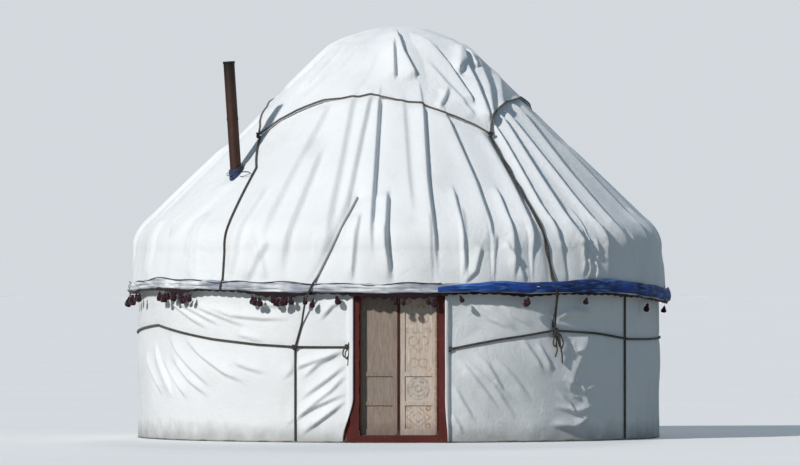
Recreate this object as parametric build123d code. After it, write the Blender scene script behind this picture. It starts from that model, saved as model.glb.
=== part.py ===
from build123d import *
import math
import os

# A round tent house: a lattice wall, bent roof poles, a domed wooden crown and a double-leaf door,
# covered in felt and white canvas that ropes hold down. Millimetres. The ground is Z = 0, the
# centre of the house is the origin, and the door looks along -Y. An azimuth is counted in degrees
# from the door towards +X.

# Plan: everything that runs round the house bends at each roof pole
sides = 48
frame_radius = 2670.0
clearance = 0.3

# Lattice wall: two crossing layers of laths
lath_width = 36.0
lath_thickness = 13.0
cell_height = 500.0
cells_high = 3
lath_overrun = 86.0
door_bays = 3
lattice_sections = 5

# Roof poles: an upright foot, a bend and a straight run to the crown
pole_width = 30.0
pole_depth = 32.0
pole_bend_height = 1930.0
pole_bend_radius = 400.0
bend_facets = 4
roof_slope = 44.2
tenon_width = 18.0
tenon_length = 30.0

# Crown: a mortised ring and two sets of bowed bars
ring_radius = 690.0
ring_width = 62.0
ring_height = 72.0
ring_chamfer = 14.0
bar_width = 28.0
bar_height = 24.0
bar_spacing = 92.0
bars_each_way = 3
bar_rise = 192.0
bar_seat_drop = 10.0
bar_facets = 8

# Covers: felt under canvas
cover_thickness = 24.0
wall_cover_foot = 3.0
wall_cover_top = 1550.0
hem_height = 1525.0
skirt_flare = 79.0
roof_cover_end_radius = 775.0
crown_cover_thickness = 11.0
crown_corner_radius = 1710.0
crown_side_radius = 1300.0
crown_corner_azimuth = 33.0
dome_corners = (0.86, 0.5, 0.0)
dome_rest = 16.0
ring_rest = 2.0
crown_reach = 1780.0
crown_leaves_roof = 815.0

# Eave trim: a rolled hem and the band that its tassels hang from
hem_roll_depth = 26.0
hem_roll_height = 62.0
hem_roll_drop = 14.0
hem_roll_toe = 9.0
hem_roll_lip = 8.0
hem_roll_lean = 3.0
hem_belly_foot = 16.0
hem_belly_drop = 22.0
band_thickness = 6.0
band_height = 64.0
band_setback = 12.0

# Door frame and its two leaves
door_half_width = 400.0
post_width = 88.0
post_cover_gap = 1.2
frame_projection = 18.0
frame_depth = 98.0
sill_extra_depth = 32.0
threshold_height = 70.0
lintel_bottom = 1525.0
lintel_height = 76.0
door_gap = 6.0
leaf_thickness = 34.0
stile_width = 58.0
rail_width = 62.0
middle_rail_width = 44.0
panel_thickness = 12.0
panel_groove = 9.0
lower_panel_height = 235.0
middle_panel_height = 250.0
meeting_strip_width = 34.0
meeting_strip_depth = 12.0
meeting_strip_setback = 2.0
pintle_radius = 11.0
pintle_length = 26.0
socket_clearance = 0.3

# Ropes
tie_diameter = 16.0
belt_diameter = 18.0
knot_tail = 70.0
corner_lap = 25.0
hem_rope_lead = 30.0
tie_landing_height = 1190.0
rope_line_end_radius = 1000.0
front_knot_azimuth = 35.4
rear_right_knot_azimuth = 125.5
rear_left_knot_azimuth = 215.5
rope_sides = 6
rope_clearance = 0.05

# Stove pipe through the roof
pipe_outer_radius = 57.5
pipe_wall = 2.0
pipe_azimuth = -52.5
pipe_roof_radius = 2100.0
pipe_lean = 3.7
pipe_above = 1165.0
pipe_below = 300.0
pipe_joint_height = 560.0
pipe_joint_length = 30.0
pipe_joint_step = 3.0
pipe_rim_length = 22.0
pipe_rim_step = 5.0
collar_wall = 16.0
collar_height = 75.0
collar_facets = 16
roof_hole_clearance = 3.0

# Sizes that follow
bay_angle = 360.0 / sides
half_bay = bay_angle / 2
flat_share = math.cos(math.radians(half_bay))
lattice_outer = frame_radius + lath_thickness / flat_share
wall_inner = lattice_outer + clearance
wall_outer = wall_inner + cover_thickness / flat_share
lattice_bay_count = sides - door_bays
section_bay_count = lattice_bay_count // lattice_sections
door_edge_azimuth = door_bays * half_bay
frame_front = frame_radius + frame_projection
head_radius_step = frame_radius * math.sin(math.radians(half_bay))
lath_rise = cell_height / 2 / head_radius_step
top_crossing = lath_overrun + cell_height * cells_high
middle_crossing = lath_overrun + cell_height * cells_high / 2
lath_half_turn = cells_high * half_bay
slope_tangent = math.tan(math.radians(roof_slope))
bend_angle = 90.0 - roof_slope
pole_cover_gap = clearance + pole_width / 2 * math.tan(math.radians(half_bay))
roof_inner_offset = pole_depth / 2 + pole_cover_gap
roof_outer_offset = roof_inner_offset + cover_thickness
far = 3400.0
sector_bulge = 1.2
tall = 5000.0


def direction(azimuth):
    """Unit vector away from the axis at an azimuth."""
    angle = math.radians(azimuth)
    return Vector(math.sin(angle), -math.cos(angle), 0)


def turned(shape, azimuth):
    """A shape made in front of the door, moved round to an azimuth."""
    return Rot(0, 0, azimuth) * shape


def sector(first, last):
    """The space between two azimuths, less than half a turn apart."""
    middle = (first + last) / 2
    reach = far / math.cos(math.radians((last - first) / 2))
    bulge = direction(middle) * far * sector_bulge
    corners = [Vector(0, 0, 0), direction(first) * reach, bulge, direction(last) * reach]
    return extrude(make_face(Polyline(*corners, close=True)), tall)


def section_face(points):
    """A closed outline given as radius and height, in the upright plane in front of the door."""
    corners = [Vector(0, -radius * flat_share, height) for radius, height in points]
    return make_face(Polyline(*corners, close=True))


def ring_bay(points):
    """One flat bay of something that runs round the house, mitred to its neighbours."""
    bar = extrude(section_face(points), far * math.tan(math.radians(half_bay)), both=True)
    return bar & sector(-half_bay, half_bay)


def bays(bay, first, last):
    """Bays first to last of a ring, joined."""
    return Part() + [turned(bay, number * bay_angle) for number in range(first, last + 1)]


def named(shape, name):
    """Writes one piece of the house to its own file."""
    shape.label = name
    export_step(shape, os.path.join("parts", name + ".step"))


# Roof profile

def pole_line_height(radius):
    """Height of the poles' centre line over the straight part of the roof."""
    bend_end_radius = frame_radius - pole_bend_radius * (1 - math.cos(math.radians(bend_angle)))
    bend_end_height = pole_bend_height + pole_bend_radius * math.sin(math.radians(bend_angle))
    return bend_end_height + (bend_end_radius - radius) * slope_tangent


def roof_height(radius, offset):
    """Height, at a radius, of the surface that lies an offset outside the poles' centre line."""
    return pole_line_height(radius) + offset / math.cos(math.radians(roof_slope))


def bend_points(offset):
    """Corners of the bend at an offset from the poles' centre line, from its foot up."""
    half_step = math.radians(bend_angle / bend_facets / 2)
    reach = (pole_bend_radius + offset) / math.cos(half_step)
    points = []
    for facet in range(bend_facets):
        angle = (2 * facet + 1) * half_step
        radius = frame_radius - pole_bend_radius + reach * math.cos(angle)
        points.append((radius, pole_bend_height + reach * math.sin(angle)))
    return points


def skirt_radius(height, offset):
    """Radius of the flared skirt under the shoulder."""
    drop = (pole_bend_height - height) / (pole_bend_height - hem_height)
    return frame_radius + offset + skirt_flare * drop


def roof_side(offset):
    """One side of the roof cover from its hem to its upper edge."""
    hem = (skirt_radius(hem_height, offset), hem_height)
    shoulder = (frame_radius + offset, pole_bend_height)
    top = (roof_cover_end_radius, roof_height(roof_cover_end_radius, offset))
    return [hem, shoulder] + bend_points(offset) + [top]


# Lattice

def lath_slab(width, drop=0.0):
    """The slanted slab that a rising lath is cut from, at azimuth 0; drop widens it downwards."""
    steep = math.atan(lath_rise)
    run = far
    across = Vector(-math.sin(steep), 0, math.cos(steep))
    along = Vector(math.cos(steep), 0, math.sin(steep))
    middle = Vector(0, 0, middle_crossing)
    upper = middle + across * (width / 2)
    lower = middle - across * (width / 2 + drop)
    corners = [upper - along * run, upper + along * run, lower + along * run, lower - along * run]
    return extrude(make_face(Polyline(*corners, close=True)), far, dir=(0, -1, 0))


def lath_layer(inner, outer):
    """One layer of the lattice, wide enough for a lath and its ends."""
    height = top_crossing + lath_overrun
    layer = ring_bay([(inner, 0), (outer, 0), (outer, height), (inner, height)])
    reach = math.ceil(lath_half_turn / bay_angle) + 1
    return bays(layer, -reach, reach)


def lattice_section():
    """One section of the lattice wall, its laths joined where they cross."""
    rising = lath_slab(lath_width) & lath_layer(frame_radius, lattice_outer)
    inner = frame_radius - lath_thickness / flat_share
    falling = mirror(lath_slab(lath_width), about=Plane.YZ) & lath_layer(inner, frame_radius)
    first = door_edge_azimuth
    last = first + section_bay_count * bay_angle
    spread = math.ceil(lath_half_turn / bay_angle)
    laths = []
    for number in range(-spread, section_bay_count + spread):
        azimuth = first + half_bay + number * bay_angle
        laths += [turned(rising, azimuth), turned(falling, azimuth)]
    return (Part() + laths) & sector(first, last)


# Roof poles

def pole():
    """A roof pole in front of the door, from the lattice to its tenon in the crown ring."""
    ring_face = ring_radius + ring_width / 2 + clearance

    def side(offset):
        foot = (frame_radius + offset, top_crossing)
        return [foot] + bend_points(offset) + [(ring_face, roof_height(ring_face, offset))]

    outline = side(pole_depth / 2) + list(reversed(side(-pole_depth / 2)))
    corners = [Vector(0, -radius, height) for radius, height in outline]
    body = extrude(make_face(Polyline(*corners, close=True)), pole_width / 2, both=True)
    return body + tenon(tenon_width, tenon_length)


def tenon(width, length):
    """The square tongue at a pole's upper end, or the mortise that it goes into."""
    ring_face = ring_radius + ring_width / 2 + clearance
    seat = Plane(origin=(0, -ring_face, pole_line_height(ring_face)), x_dir=(1, 0, 0),
                 z_dir=(0, math.cos(math.radians(roof_slope)), math.sin(math.radians(roof_slope))))
    return seat * Pos(0, 0, (length - width) / 2) * Box(width, width, length + width)


def wall_pole():
    """A pole whose foot sits in the fork of two laths."""
    foot = pole()
    below = lath_slab(lath_width + 2 * clearance, far)
    rising = turned(below, -lath_half_turn)
    falling = turned(mirror(below, about=Plane.YZ), lath_half_turn)
    return foot - (rising + falling) & front_half()


def front_half():
    """The space in front of the house's axis."""
    return Pos(0, -far / 2, tall / 2) * Box(2 * far, far, tall)


def door_pole():
    """A pole whose foot stands on the lintel."""
    lintel_top = lintel_bottom + lintel_height + clearance
    return pole() & Pos(0, 0, lintel_top + tall / 2) * Box(2 * far, 2 * far, tall)


def pole_set(first, count):
    """Neighbouring poles, counted from the one at half a bay to the right of the door's middle."""
    on_lattice = wall_pole()
    on_lintel = door_pole()
    poles = []
    for number in range(first, first + count):
        azimuth = half_bay + number * bay_angle
        over_door = abs(azimuth) < door_edge_azimuth - half_bay
        poles.append(turned(on_lintel if over_door else on_lattice, azimuth))
    return Compound(children=poles)


# Crown

ring_bottom = pole_line_height(ring_radius) - ring_height / 2


def crown_ring():
    """The ring of the crown, with a mortise for each pole."""
    inner = ring_radius - ring_width / 2
    outer = ring_radius + ring_width / 2
    top = ring_bottom + ring_height
    cut = ring_chamfer
    outline = [(inner + cut, ring_bottom), (outer - cut, ring_bottom), (outer, ring_bottom + cut),
               (outer, top - cut), (outer - cut, top), (inner + cut, top),
               (inner, top - cut), (inner, ring_bottom + cut)]
    outline = [(radius / flat_share, height) for radius, height in outline]
    mortise = tenon(tenon_width + 2 * clearance, tenon_length + 2 * clearance)
    bay = ring_bay(outline) - mortise
    return turned(bays(bay, 0, sides - 1), half_bay)


bar_seat_radius = ring_radius - ring_width / 2 - clearance
bar_seat_height = ring_bottom + ring_height - bar_height / 2 - bar_seat_drop
bar_radius = (bar_seat_radius ** 2 + bar_rise ** 2) / (2 * bar_rise)
bar_centre_height = bar_seat_height + bar_rise - bar_radius


def crown_crossbars():
    """Two sets of bowed bars, joined where they cross and seated inside the ring."""
    reach = math.degrees(math.asin((bar_seat_radius + bar_height) / bar_radius))
    turns = [reach * (2 * number / bar_facets - 1) for number in range(bar_facets + 1)]

    def bow(radius):
        return [direction(turn) * -radius for turn in turns]

    outline = bow(bar_radius + bar_height / 2) + list(reversed(bow(bar_radius - bar_height / 2)))
    corners = [Vector(point.X, 0, bar_centre_height + point.Y) for point in outline]
    bar = extrude(make_face(Polyline(*corners, close=True)), bar_width / 2, both=True)
    offsets = [bar_spacing * (number - (bars_each_way - 1) / 2) for number in range(bars_each_way)]
    across = [Pos(0, offset, 0) * bar for offset in offsets]
    along = [turned(one, 90) for one in across]
    inside = Rot(0, 0, half_bay) * RegularPolygon(bar_seat_radius, sides, major_radius=False)
    return (Part() + across + along) & extrude(inside, tall)


# Covers

def roof_cover(first, last):
    """Part of the roof cover, from its skirt to the crown."""
    outline = roof_side(roof_outer_offset) + list(reversed(roof_side(roof_inner_offset)))
    return bays(ring_bay(outline), first, last)


def wall_cover_bay():
    """One bay of the wall cover."""
    return ring_bay([(wall_inner, wall_cover_foot), (wall_outer, wall_cover_foot),
                     (wall_outer, wall_cover_top), (wall_inner, wall_cover_top)])


def wall_cover(section):
    """The wall cover over one section of the lattice; the end ones reach the door posts."""
    first = door_bays // 2 + 1 + section * section_bay_count
    last = first + section_bay_count - 1
    bay = wall_cover_bay()
    cover = bays(bay, first, last)
    post_side = door_half_width + post_width + post_cover_gap
    lap = Pos(post_side + far / 2, -far / 2, tall / 2) * Box(far, far, tall)
    if section == 0:
        cover = cover + (turned(bay, (first - 1) * bay_angle) & lap)
    if section == lattice_sections - 1:
        cover = cover + (turned(bay, (last + 1) * bay_angle) & mirror(lap, about=Plane.YZ))
    return cover


def crown_profile(lift):
    """The crown cover's underside, lifted by its thickness for the outside, from edge to apex."""
    bar_top = bar_radius + bar_height / 2
    ring_top = ring_bottom + ring_height
    offset = roof_outer_offset + clearance + lift
    points = [(radius, roof_height(radius, offset)) for radius in (crown_reach, crown_leaves_roof)]
    points.append((ring_radius + ring_width / 2 - ring_chamfer / 2, ring_top + ring_rest + lift))
    for share in dome_corners:
        radius = bar_seat_radius * share
        height = bar_centre_height + math.sqrt(bar_top ** 2 - radius ** 2)
        points.append((radius, height + dome_rest + lift))
    return points


def crown_cover():
    """The square cover that is drawn over the crown."""
    outside = crown_profile(crown_cover_thickness)
    inside = crown_profile(0.0)
    shell = bays(ring_bay(outside + list(reversed(inside))), 0, sides - 1)
    corners = []
    for quarter in range(4):
        azimuth = crown_corner_azimuth + 90 * quarter
        corners += [direction(azimuth) * crown_corner_radius, direction(azimuth + 45) * crown_side_radius]
    return shell & extrude(make_face(Polyline(*corners, close=True)), tall)


hem_top = hem_height + hem_roll_height
hem_bottom = hem_height - hem_roll_drop
hem_outer = skirt_radius(hem_height, roof_outer_offset) + hem_roll_depth


def eave_hem():
    """The rolled hem round the skirt's lower edge."""
    seat_top = skirt_radius(hem_top, roof_outer_offset) + clearance
    seat_bottom = skirt_radius(hem_bottom, roof_outer_offset) + clearance
    outline = [(seat_bottom, hem_bottom), (hem_outer - hem_roll_toe, hem_bottom),
               (hem_outer, hem_bottom + hem_belly_foot), (hem_outer - hem_roll_lean, hem_top - hem_belly_drop),
               (seat_top + hem_roll_lip, hem_top), (seat_top, hem_top)]
    return bays(ring_bay(outline), 0, sides - 1)


def tassel_band():
    """The thin band under the hem that the tassels hang from."""
    outer = hem_outer - band_setback
    top = hem_bottom - clearance
    return bays(ring_bay([(outer - band_thickness, top - band_height), (outer, top - band_height),
                          (outer, top), (outer - band_thickness, top)]), 0, sides - 1)


# Door

def frame_plan():
    """The door frame's outline on the ground, from one end of the lattice to the other."""
    back = frame_front - frame_depth - sill_extra_depth
    end = direction(door_edge_azimuth)
    inset = clearance / flat_share
    visible = door_half_width + post_width
    lap = math.radians((door_bays // 2) * bay_angle)
    rebate = (lattice_outer * flat_share - visible * math.sin(lap)) / math.cos(lap)
    lap_end = end * lattice_outer
    right = [(visible, -frame_front), (visible, -rebate), (lap_end.X - inset, lap_end.Y),
             (end.X / -end.Y * back - inset, -back)]
    left = [(-x, y) for x, y in reversed(right)]
    return make_face(Polyline(*right, *left, close=True))


def frame_slice(low, high):
    """The door frame's plan between two heights."""
    return Pos(0, 0, low) * extrude(frame_plan(), high - low)


def door_post(side):
    """One post; side is 1 for the right one and -1 for the left one."""
    width = far
    middle = side * (door_half_width + width / 2)
    keep = Pos(middle, -(frame_front + frame_front - frame_depth) / 2, tall / 2) * Box(width, frame_depth, tall)
    return frame_slice(threshold_height, lintel_bottom) & keep


pintle_x = door_half_width - door_gap - leaf_thickness / 2
pintle_y = -(frame_front - frame_depth)
leaf_bottom = threshold_height + door_gap
leaf_top = lintel_bottom - door_gap


def sockets(low, high):
    """The round holes that the leaves' pintles turn in."""
    hole = Cylinder(pintle_radius + socket_clearance, high - low, align=(Align.CENTER, Align.CENTER, Align.MIN))
    return [Pos(side * pintle_x, pintle_y, low) * hole for side in (-1, 1)]


def threshold():
    """The sill, with a socket for each leaf."""
    depth = pintle_length - door_gap + clearance
    return frame_slice(0, threshold_height) - sockets(threshold_height - depth, threshold_height)


def lintel():
    """The head of the frame, which also carries the poles over the door."""
    depth = pintle_length - door_gap + clearance
    beam = frame_slice(lintel_bottom, lintel_bottom + lintel_height)
    return beam - sockets(lintel_bottom, lintel_bottom + depth)


panel_rows = []
panel_low = leaf_bottom + rail_width
for panel_height in (lower_panel_height, middle_panel_height):
    panel_rows.append((panel_low, panel_low + panel_height))
    panel_low += panel_height + middle_rail_width
panel_rows.append((panel_low, leaf_top - rail_width))
meeting_gap = door_gap / 2
panel_left = meeting_gap + stile_width
panel_right = pintle_x + leaf_thickness / 2 - stile_width


def right_leaf():
    """The frame of the right leaf, with its pintles and its panel grooves."""
    height = leaf_top - leaf_bottom
    width = pintle_x - meeting_gap
    board = Pos(meeting_gap + width / 2, pintle_y, leaf_bottom + height / 2) * Box(width, leaf_thickness, height)
    up = (Align.CENTER, Align.CENTER, Align.MIN)
    heel = Pos(pintle_x, pintle_y, leaf_bottom) * Cylinder(leaf_thickness / 2, height, align=up)
    low = leaf_bottom - pintle_length
    pin = Pos(pintle_x, pintle_y, low) * Cylinder(pintle_radius, height + 2 * pintle_length, align=up)
    leaf = board + heel + pin
    middle = (panel_left + panel_right) / 2
    for bottom, top in panel_rows:
        centre = Pos(middle, pintle_y, (bottom + top) / 2)
        leaf -= centre * Box(panel_right - panel_left, 2 * leaf_thickness, top - bottom)
        leaf -= centre * Box(panel_right - panel_left + 2 * panel_groove, panel_thickness + 2 * clearance,
                             top - bottom + 2 * panel_groove)
    return leaf


def right_panels():
    """The boards in the right leaf's grooves."""
    width = panel_right - panel_left + 2 * (panel_groove - clearance)
    boards = []
    for bottom, top in panel_rows:
        height = top - bottom + 2 * (panel_groove - clearance)
        place = Pos((panel_left + panel_right) / 2, pintle_y, (bottom + top) / 2)
        boards.append(place * Box(width, panel_thickness, height))
    return Compound(children=boards)


def left_leaf():
    """The left leaf mirrors the right one and carries the meeting strip."""
    height = leaf_top - leaf_bottom - 2 * door_gap
    left = -(meeting_gap + meeting_strip_setback + meeting_strip_width / 2)
    front = pintle_y - leaf_thickness / 2 - meeting_strip_depth / 2
    strip = Pos(left, front, (leaf_top + leaf_bottom) / 2) * Box(meeting_strip_width, meeting_strip_depth, height)
    return mirror(right_leaf(), about=Plane.YZ) + strip


# Ropes

def offset_line(points, amount):
    """An outline of radius and height points moved outwards by an amount, its corners kept sharp."""
    normals = []
    for (r0, z0), (r1, z1) in zip(points, points[1:]):
        length = math.hypot(r1 - r0, z1 - z0)
        normals.append(((z1 - z0) / length, -(r1 - r0) / length))
    moved = []
    for number, (radius, height) in enumerate(points):
        before = normals[max(number - 1, 0)]
        after = normals[min(number, len(normals) - 1)]
        middle = (before[0] + after[0], before[1] + after[1])
        scale = 2 * amount / (middle[0] ** 2 + middle[1] ** 2)
        moved.append((radius + middle[0] * scale, height + middle[1] * scale))
    return moved


wall_line = [(wall_outer, 0.0), (wall_outer, tie_landing_height)]
band_foot = (hem_outer - band_setback, hem_bottom - clearance - band_height)
hem_line = [band_foot, (hem_outer, hem_bottom + hem_belly_foot),
            (hem_outer - hem_roll_lean, hem_top - hem_belly_drop)]
shoulder_foot = (frame_radius + roof_outer_offset, pole_bend_height)
roof_line = [shoulder_foot] + bend_points(roof_outer_offset) + [
    (rope_line_end_radius, roof_height(rope_line_end_radius, roof_outer_offset))]
skirt_meets = (skirt_radius(hem_top + hem_rope_lead, roof_outer_offset), hem_top + hem_rope_lead)
over_hem = wall_line + hem_line + [skirt_meets] + roof_line


def radius_on(line, height):
    """Radius of an outline at a height."""
    for (r0, z0), (r1, z1) in zip(line, line[1:]):
        if z0 <= height <= z1:
            return r0 + (r1 - r0) * (height - z0) / (z1 - z0)
    return line[0][0] if height < line[0][1] else line[-1][0]


def taut_route(line, stations):
    """A taut rope's corners over an outline: it bends at each pole and at each corner of the outline.

    A station is an azimuth, a height and how far the rope is lifted off by what it crosses.
    """
    corners = []
    for (a0, z0, lift0), (a1, z1, lift1) in zip(stations, stations[1:]):
        shares = {0.0, 1.0}
        poles = [half_bay + number * bay_angle for number in range(-sides, sides)]
        shares |= {(azimuth - a0) / (a1 - a0) for azimuth in poles if (azimuth - a0) * (azimuth - a1) < 0}
        heights = [height for radius, height in line]
        shares |= {(height - z0) / (z1 - z0) for height in heights if (height - z0) * (height - z1) < 0}
        for share in sorted(shares)[1 if corners else 0:]:
            azimuth = a0 + (a1 - a0) * share
            height = z0 + (z1 - z0) * share
            bay_middle = round(azimuth / bay_angle) * bay_angle
            flat = flat_share / math.cos(math.radians(azimuth - bay_middle))
            radius = (radius_on(line, height) + lift0 + (lift1 - lift0) * share) * flat
            corners.append(direction(azimuth) * radius + Vector(0, 0, height))
    return corners


def rope(corners, diameter):
    """A plain rope of few sides along its corners."""
    runs = [(b - a).normalized() for a, b in zip(corners, corners[1:])]
    sections = []
    for number, corner in enumerate(corners):
        along = (runs[max(number - 1, 0)] + runs[min(number, len(runs) - 1)]).normalized()
        outward = Vector(corner.X, corner.Y, 0).normalized()
        place = Plane(origin=corner, x_dir=along.cross(outward), z_dir=along)
        sections.append(place * RegularPolygon(diameter / 2, rope_sides))
    return loft(sections, ruled=True)


tie_offset = tie_diameter / 2 + rope_clearance
belt_offset = belt_diameter / 2 * math.cos(math.pi / rope_sides) + clearance
tie_line = offset_line(over_hem, tie_offset)
wall_tie_line = offset_line([(wall_outer, 0.0), (wall_outer, tall)], tie_offset)
crown_edge_height = roof_height(crown_corner_radius, roof_outer_offset) - corner_lap

# Belt heights by azimuth: it rises over the lattice's widest hold and drops to the door posts
belt_course = [(10.75, 940), (22.2, 1040), (front_knot_azimuth, 1130), (47.4, 1090), (59.3, 1030),
               (80.0, 1030), (125.0, 1060), (180.0, 1050), (235.0, 1060), (270.0, 1090), (294.6, 1170),
               (315.7, 1040), (328.3, 980), (337.4, 960), (349.25, 965)]
belt_crossings = [front_knot_azimuth, 58.4, rear_right_knot_azimuth, 157.4, rear_left_knot_azimuth, 337.4]
crossing_reach = 2.5
crossing_clearance = 1.2


def belt_height(azimuth):
    """Height of the belt at an azimuth."""
    for (a0, z0), (a1, z1) in zip(belt_course, belt_course[1:]):
        if a0 <= azimuth <= a1:
            return z0 + (z1 - z0) * (azimuth - a0) / (a1 - a0)
    return belt_course[-1][1]


# Ties as azimuth, height and lift; the front ones as the house shows them, the rear ones to match
front_right_tie = [(33.0, crown_edge_height, 0), (32.8, 2200, 0), (front_knot_azimuth, 1180, 0),
                   (front_knot_azimuth, belt_height(front_knot_azimuth) - knot_tail, 0)]
front_left_tie = [(-56.6, crown_edge_height, 0), (-45.6, 2777, 0), (-41.1, 2205, 0), (-39.8, 1535, 0)]
rear_right_tie = [(123.0, crown_edge_height, 0), (124.0, 2200, 0),
                  (rear_right_knot_azimuth, belt_height(rear_right_knot_azimuth) - knot_tail, 0)]
rear_left_tie = [(-147.0, crown_edge_height, 0), (-146.0, 2200, 0),
                 (rear_left_knot_azimuth - 360, belt_height(rear_left_knot_azimuth) - knot_tail, 0)]
front_roof_tie = [(-10.2, 2465, 0), (-13.3, 2075, 0), (-19.8, 1399, 0), (-22.6, 957, 0), (-22.6, 12, 0)]
rear_roof_tie = [(168.0, 2465, 0), (165.0, 2075, 0), (159.0, 1399, 0), (157.0, 957, 0), (157.0, 12, 0)]
right_wall_tie = [(58.4, 1520, 0), (58.4, 12, 0)]

def belt_rope():
    """The rope belt round the wall, from door post to door post, over the ties that it crosses."""
    lift = tie_diameter + crossing_clearance
    marks = {azimuth: 0.0 for azimuth, height in belt_course}
    for azimuth in belt_crossings:
        marks = {mark: 0.0 for mark in marks if abs(mark - azimuth) > crossing_reach}
        marks.update({azimuth - crossing_reach: 0.0, azimuth + crossing_reach: 0.0})
    stations = [(azimuth, belt_height(azimuth), 0.0) for azimuth in marks]
    stations += [(azimuth, belt_height(azimuth), lift) for azimuth in belt_crossings]
    wall = [(wall_outer + belt_offset / flat_share, 0.0), (wall_outer + belt_offset / flat_share, tall)]
    return rope(taut_route(wall, sorted(stations)), belt_diameter)


# Stove pipe

pipe_axis = Vector(-math.sin(math.radians(pipe_lean)), 0, math.cos(math.radians(pipe_lean)))
pipe_root = (direction(pipe_azimuth) * pipe_roof_radius
             + Vector(0, 0, roof_height(pipe_roof_radius, roof_outer_offset)))
pipe_frame = Plane(origin=pipe_root, x_dir=(math.cos(math.radians(pipe_lean)), 0, math.sin(math.radians(pipe_lean))),
                   z_dir=pipe_axis)


def stove_pipe():
    """A thin pipe with a swaged joint and a rolled rim."""
    inner = pipe_outer_radius - pipe_wall
    outer = pipe_outer_radius
    joint = outer + pipe_joint_step
    rim = outer + pipe_rim_step
    joint_top = pipe_joint_height + pipe_joint_length
    outline = [(inner, -pipe_below), (outer, -pipe_below), (outer, pipe_joint_height),
               (joint, pipe_joint_height), (joint, joint_top), (outer, joint_top),
               (outer, pipe_above - pipe_rim_length), (rim, pipe_above - pipe_rim_length),
               (rim, pipe_above), (inner, pipe_above)]
    wall = revolve(Plane.XZ * make_face(Polyline(*outline, close=True)), Axis.Z)
    return pipe_frame * wall


def pipe_collar():
    """The cuff that closes the roof cover round the pipe."""
    bore = pipe_outer_radius + clearance
    plan = (RegularPolygon(bore + collar_wall, collar_facets, major_radius=False)
            - RegularPolygon(bore, collar_facets, major_radius=False))
    cuff = Pos(0, 0, -2 * collar_height) * extrude(plan, 3 * collar_height)
    offset = roof_outer_offset + clearance
    seat = [(far, roof_height(far, offset)), (far, tall), (0, tall), (0, roof_height(0, offset))]
    above_roof = extrude(section_face(seat), far, both=True)
    return pipe_frame * cuff & turned(above_roof, round(pipe_azimuth / bay_angle) * bay_angle)


def pipe_hole():
    """The round hole that the pipe passes through."""
    return pipe_frame * Cylinder(pipe_outer_radius + roof_hole_clearance, 2 * pipe_below)


# Build

os.makedirs("parts", exist_ok=True)

named(threshold(), "door_threshold")
named(lintel(), "door_lintel")
named(door_post(-1), "door_post_left")
named(door_post(1), "door_post_right")
named(left_leaf(), "door_leaf_left")
named(right_leaf(), "door_leaf_right")
named(right_panels(), "door_panels_right")
named(mirror(right_panels(), about=Plane.YZ), "door_panels_left")

section_names = ["right_front", "right_rear", "back", "left_rear", "left_front"]
lattice = lattice_section()
for number, section_name in enumerate(section_names):
    named(turned(lattice, number * section_bay_count * bay_angle), "lattice_" + section_name)
    named(wall_cover(number), "wall_cover_" + section_name)

quarter_names = ["front", "right", "back", "left"]
quarter = sides // 4
for number, quarter_name in enumerate(quarter_names):
    named(pole_set(number * quarter - quarter // 2, quarter), "roof_poles_" + quarter_name)

named(crown_ring(), "crown_ring")
named(crown_crossbars(), "crown_crossbars")
named(crown_cover(), "crown_cover")

# Bays of the roof cover, the same on both sides of the door
roof_cover_bays = {"front": (-4, 4), "right_front": (5, 12), "right_rear": (13, 19), "back": (20, 28),
                   "left_rear": (29, 35), "left_front": (36, 43)}
for cover_name, (first_bay, last_bay) in roof_cover_bays.items():
    cover = roof_cover(first_bay, last_bay)
    if cover_name == "left_front":
        cover = cover - pipe_hole()
    named(cover, "roof_cover_" + cover_name)

named(eave_hem(), "eave_hem")
named(tassel_band(), "tassel_band")

ties = {"crown_tie_right_front": front_right_tie, "crown_tie_left_front": front_left_tie,
        "crown_tie_right_rear": rear_right_tie, "crown_tie_left_rear": rear_left_tie,
        "roof_tie_front": front_roof_tie, "roof_tie_rear": rear_roof_tie}
for tie_name, tie_stations in ties.items():
    named(rope(taut_route(tie_line, tie_stations), tie_diameter), tie_name)
named(rope(taut_route(wall_tie_line, right_wall_tie), tie_diameter), "wall_tie_right")
named(belt_rope(), "belt_rope")

named(stove_pipe(), "stove_pipe")
named(pipe_collar(), "pipe_collar")
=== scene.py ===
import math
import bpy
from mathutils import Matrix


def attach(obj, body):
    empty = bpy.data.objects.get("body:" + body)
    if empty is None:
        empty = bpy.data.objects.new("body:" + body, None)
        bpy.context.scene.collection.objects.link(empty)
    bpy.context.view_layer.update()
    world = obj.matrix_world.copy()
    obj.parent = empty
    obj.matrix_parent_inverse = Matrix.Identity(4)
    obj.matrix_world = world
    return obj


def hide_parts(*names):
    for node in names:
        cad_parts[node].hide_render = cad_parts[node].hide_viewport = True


bl_info = {
    "name": "Felt House",
    "version": (1, 0, 0),
    "blender": (4, 5, 0),
    "location": "View3D > Sidebar > Felt House",
    "description": "Dresses the frame of a round felt house: canvas, felt, ropes, tassels, paint and soot",
    "category": "Object",
}

import bmesh
import bpy
import numpy as np
from bpy.props import FloatProperty, FloatVectorProperty, IntProperty, PointerProperty
from mathutils import Matrix, Vector

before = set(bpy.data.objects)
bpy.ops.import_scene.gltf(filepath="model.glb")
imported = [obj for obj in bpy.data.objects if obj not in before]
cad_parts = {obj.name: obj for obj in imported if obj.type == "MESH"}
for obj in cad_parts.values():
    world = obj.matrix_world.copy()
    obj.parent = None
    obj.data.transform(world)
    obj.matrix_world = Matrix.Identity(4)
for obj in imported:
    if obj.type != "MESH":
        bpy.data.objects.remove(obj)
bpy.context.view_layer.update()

# Metres. An azimuth is counted in degrees from the door towards +X, as in the frame.
FULL_TURN = 2 * math.pi

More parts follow.
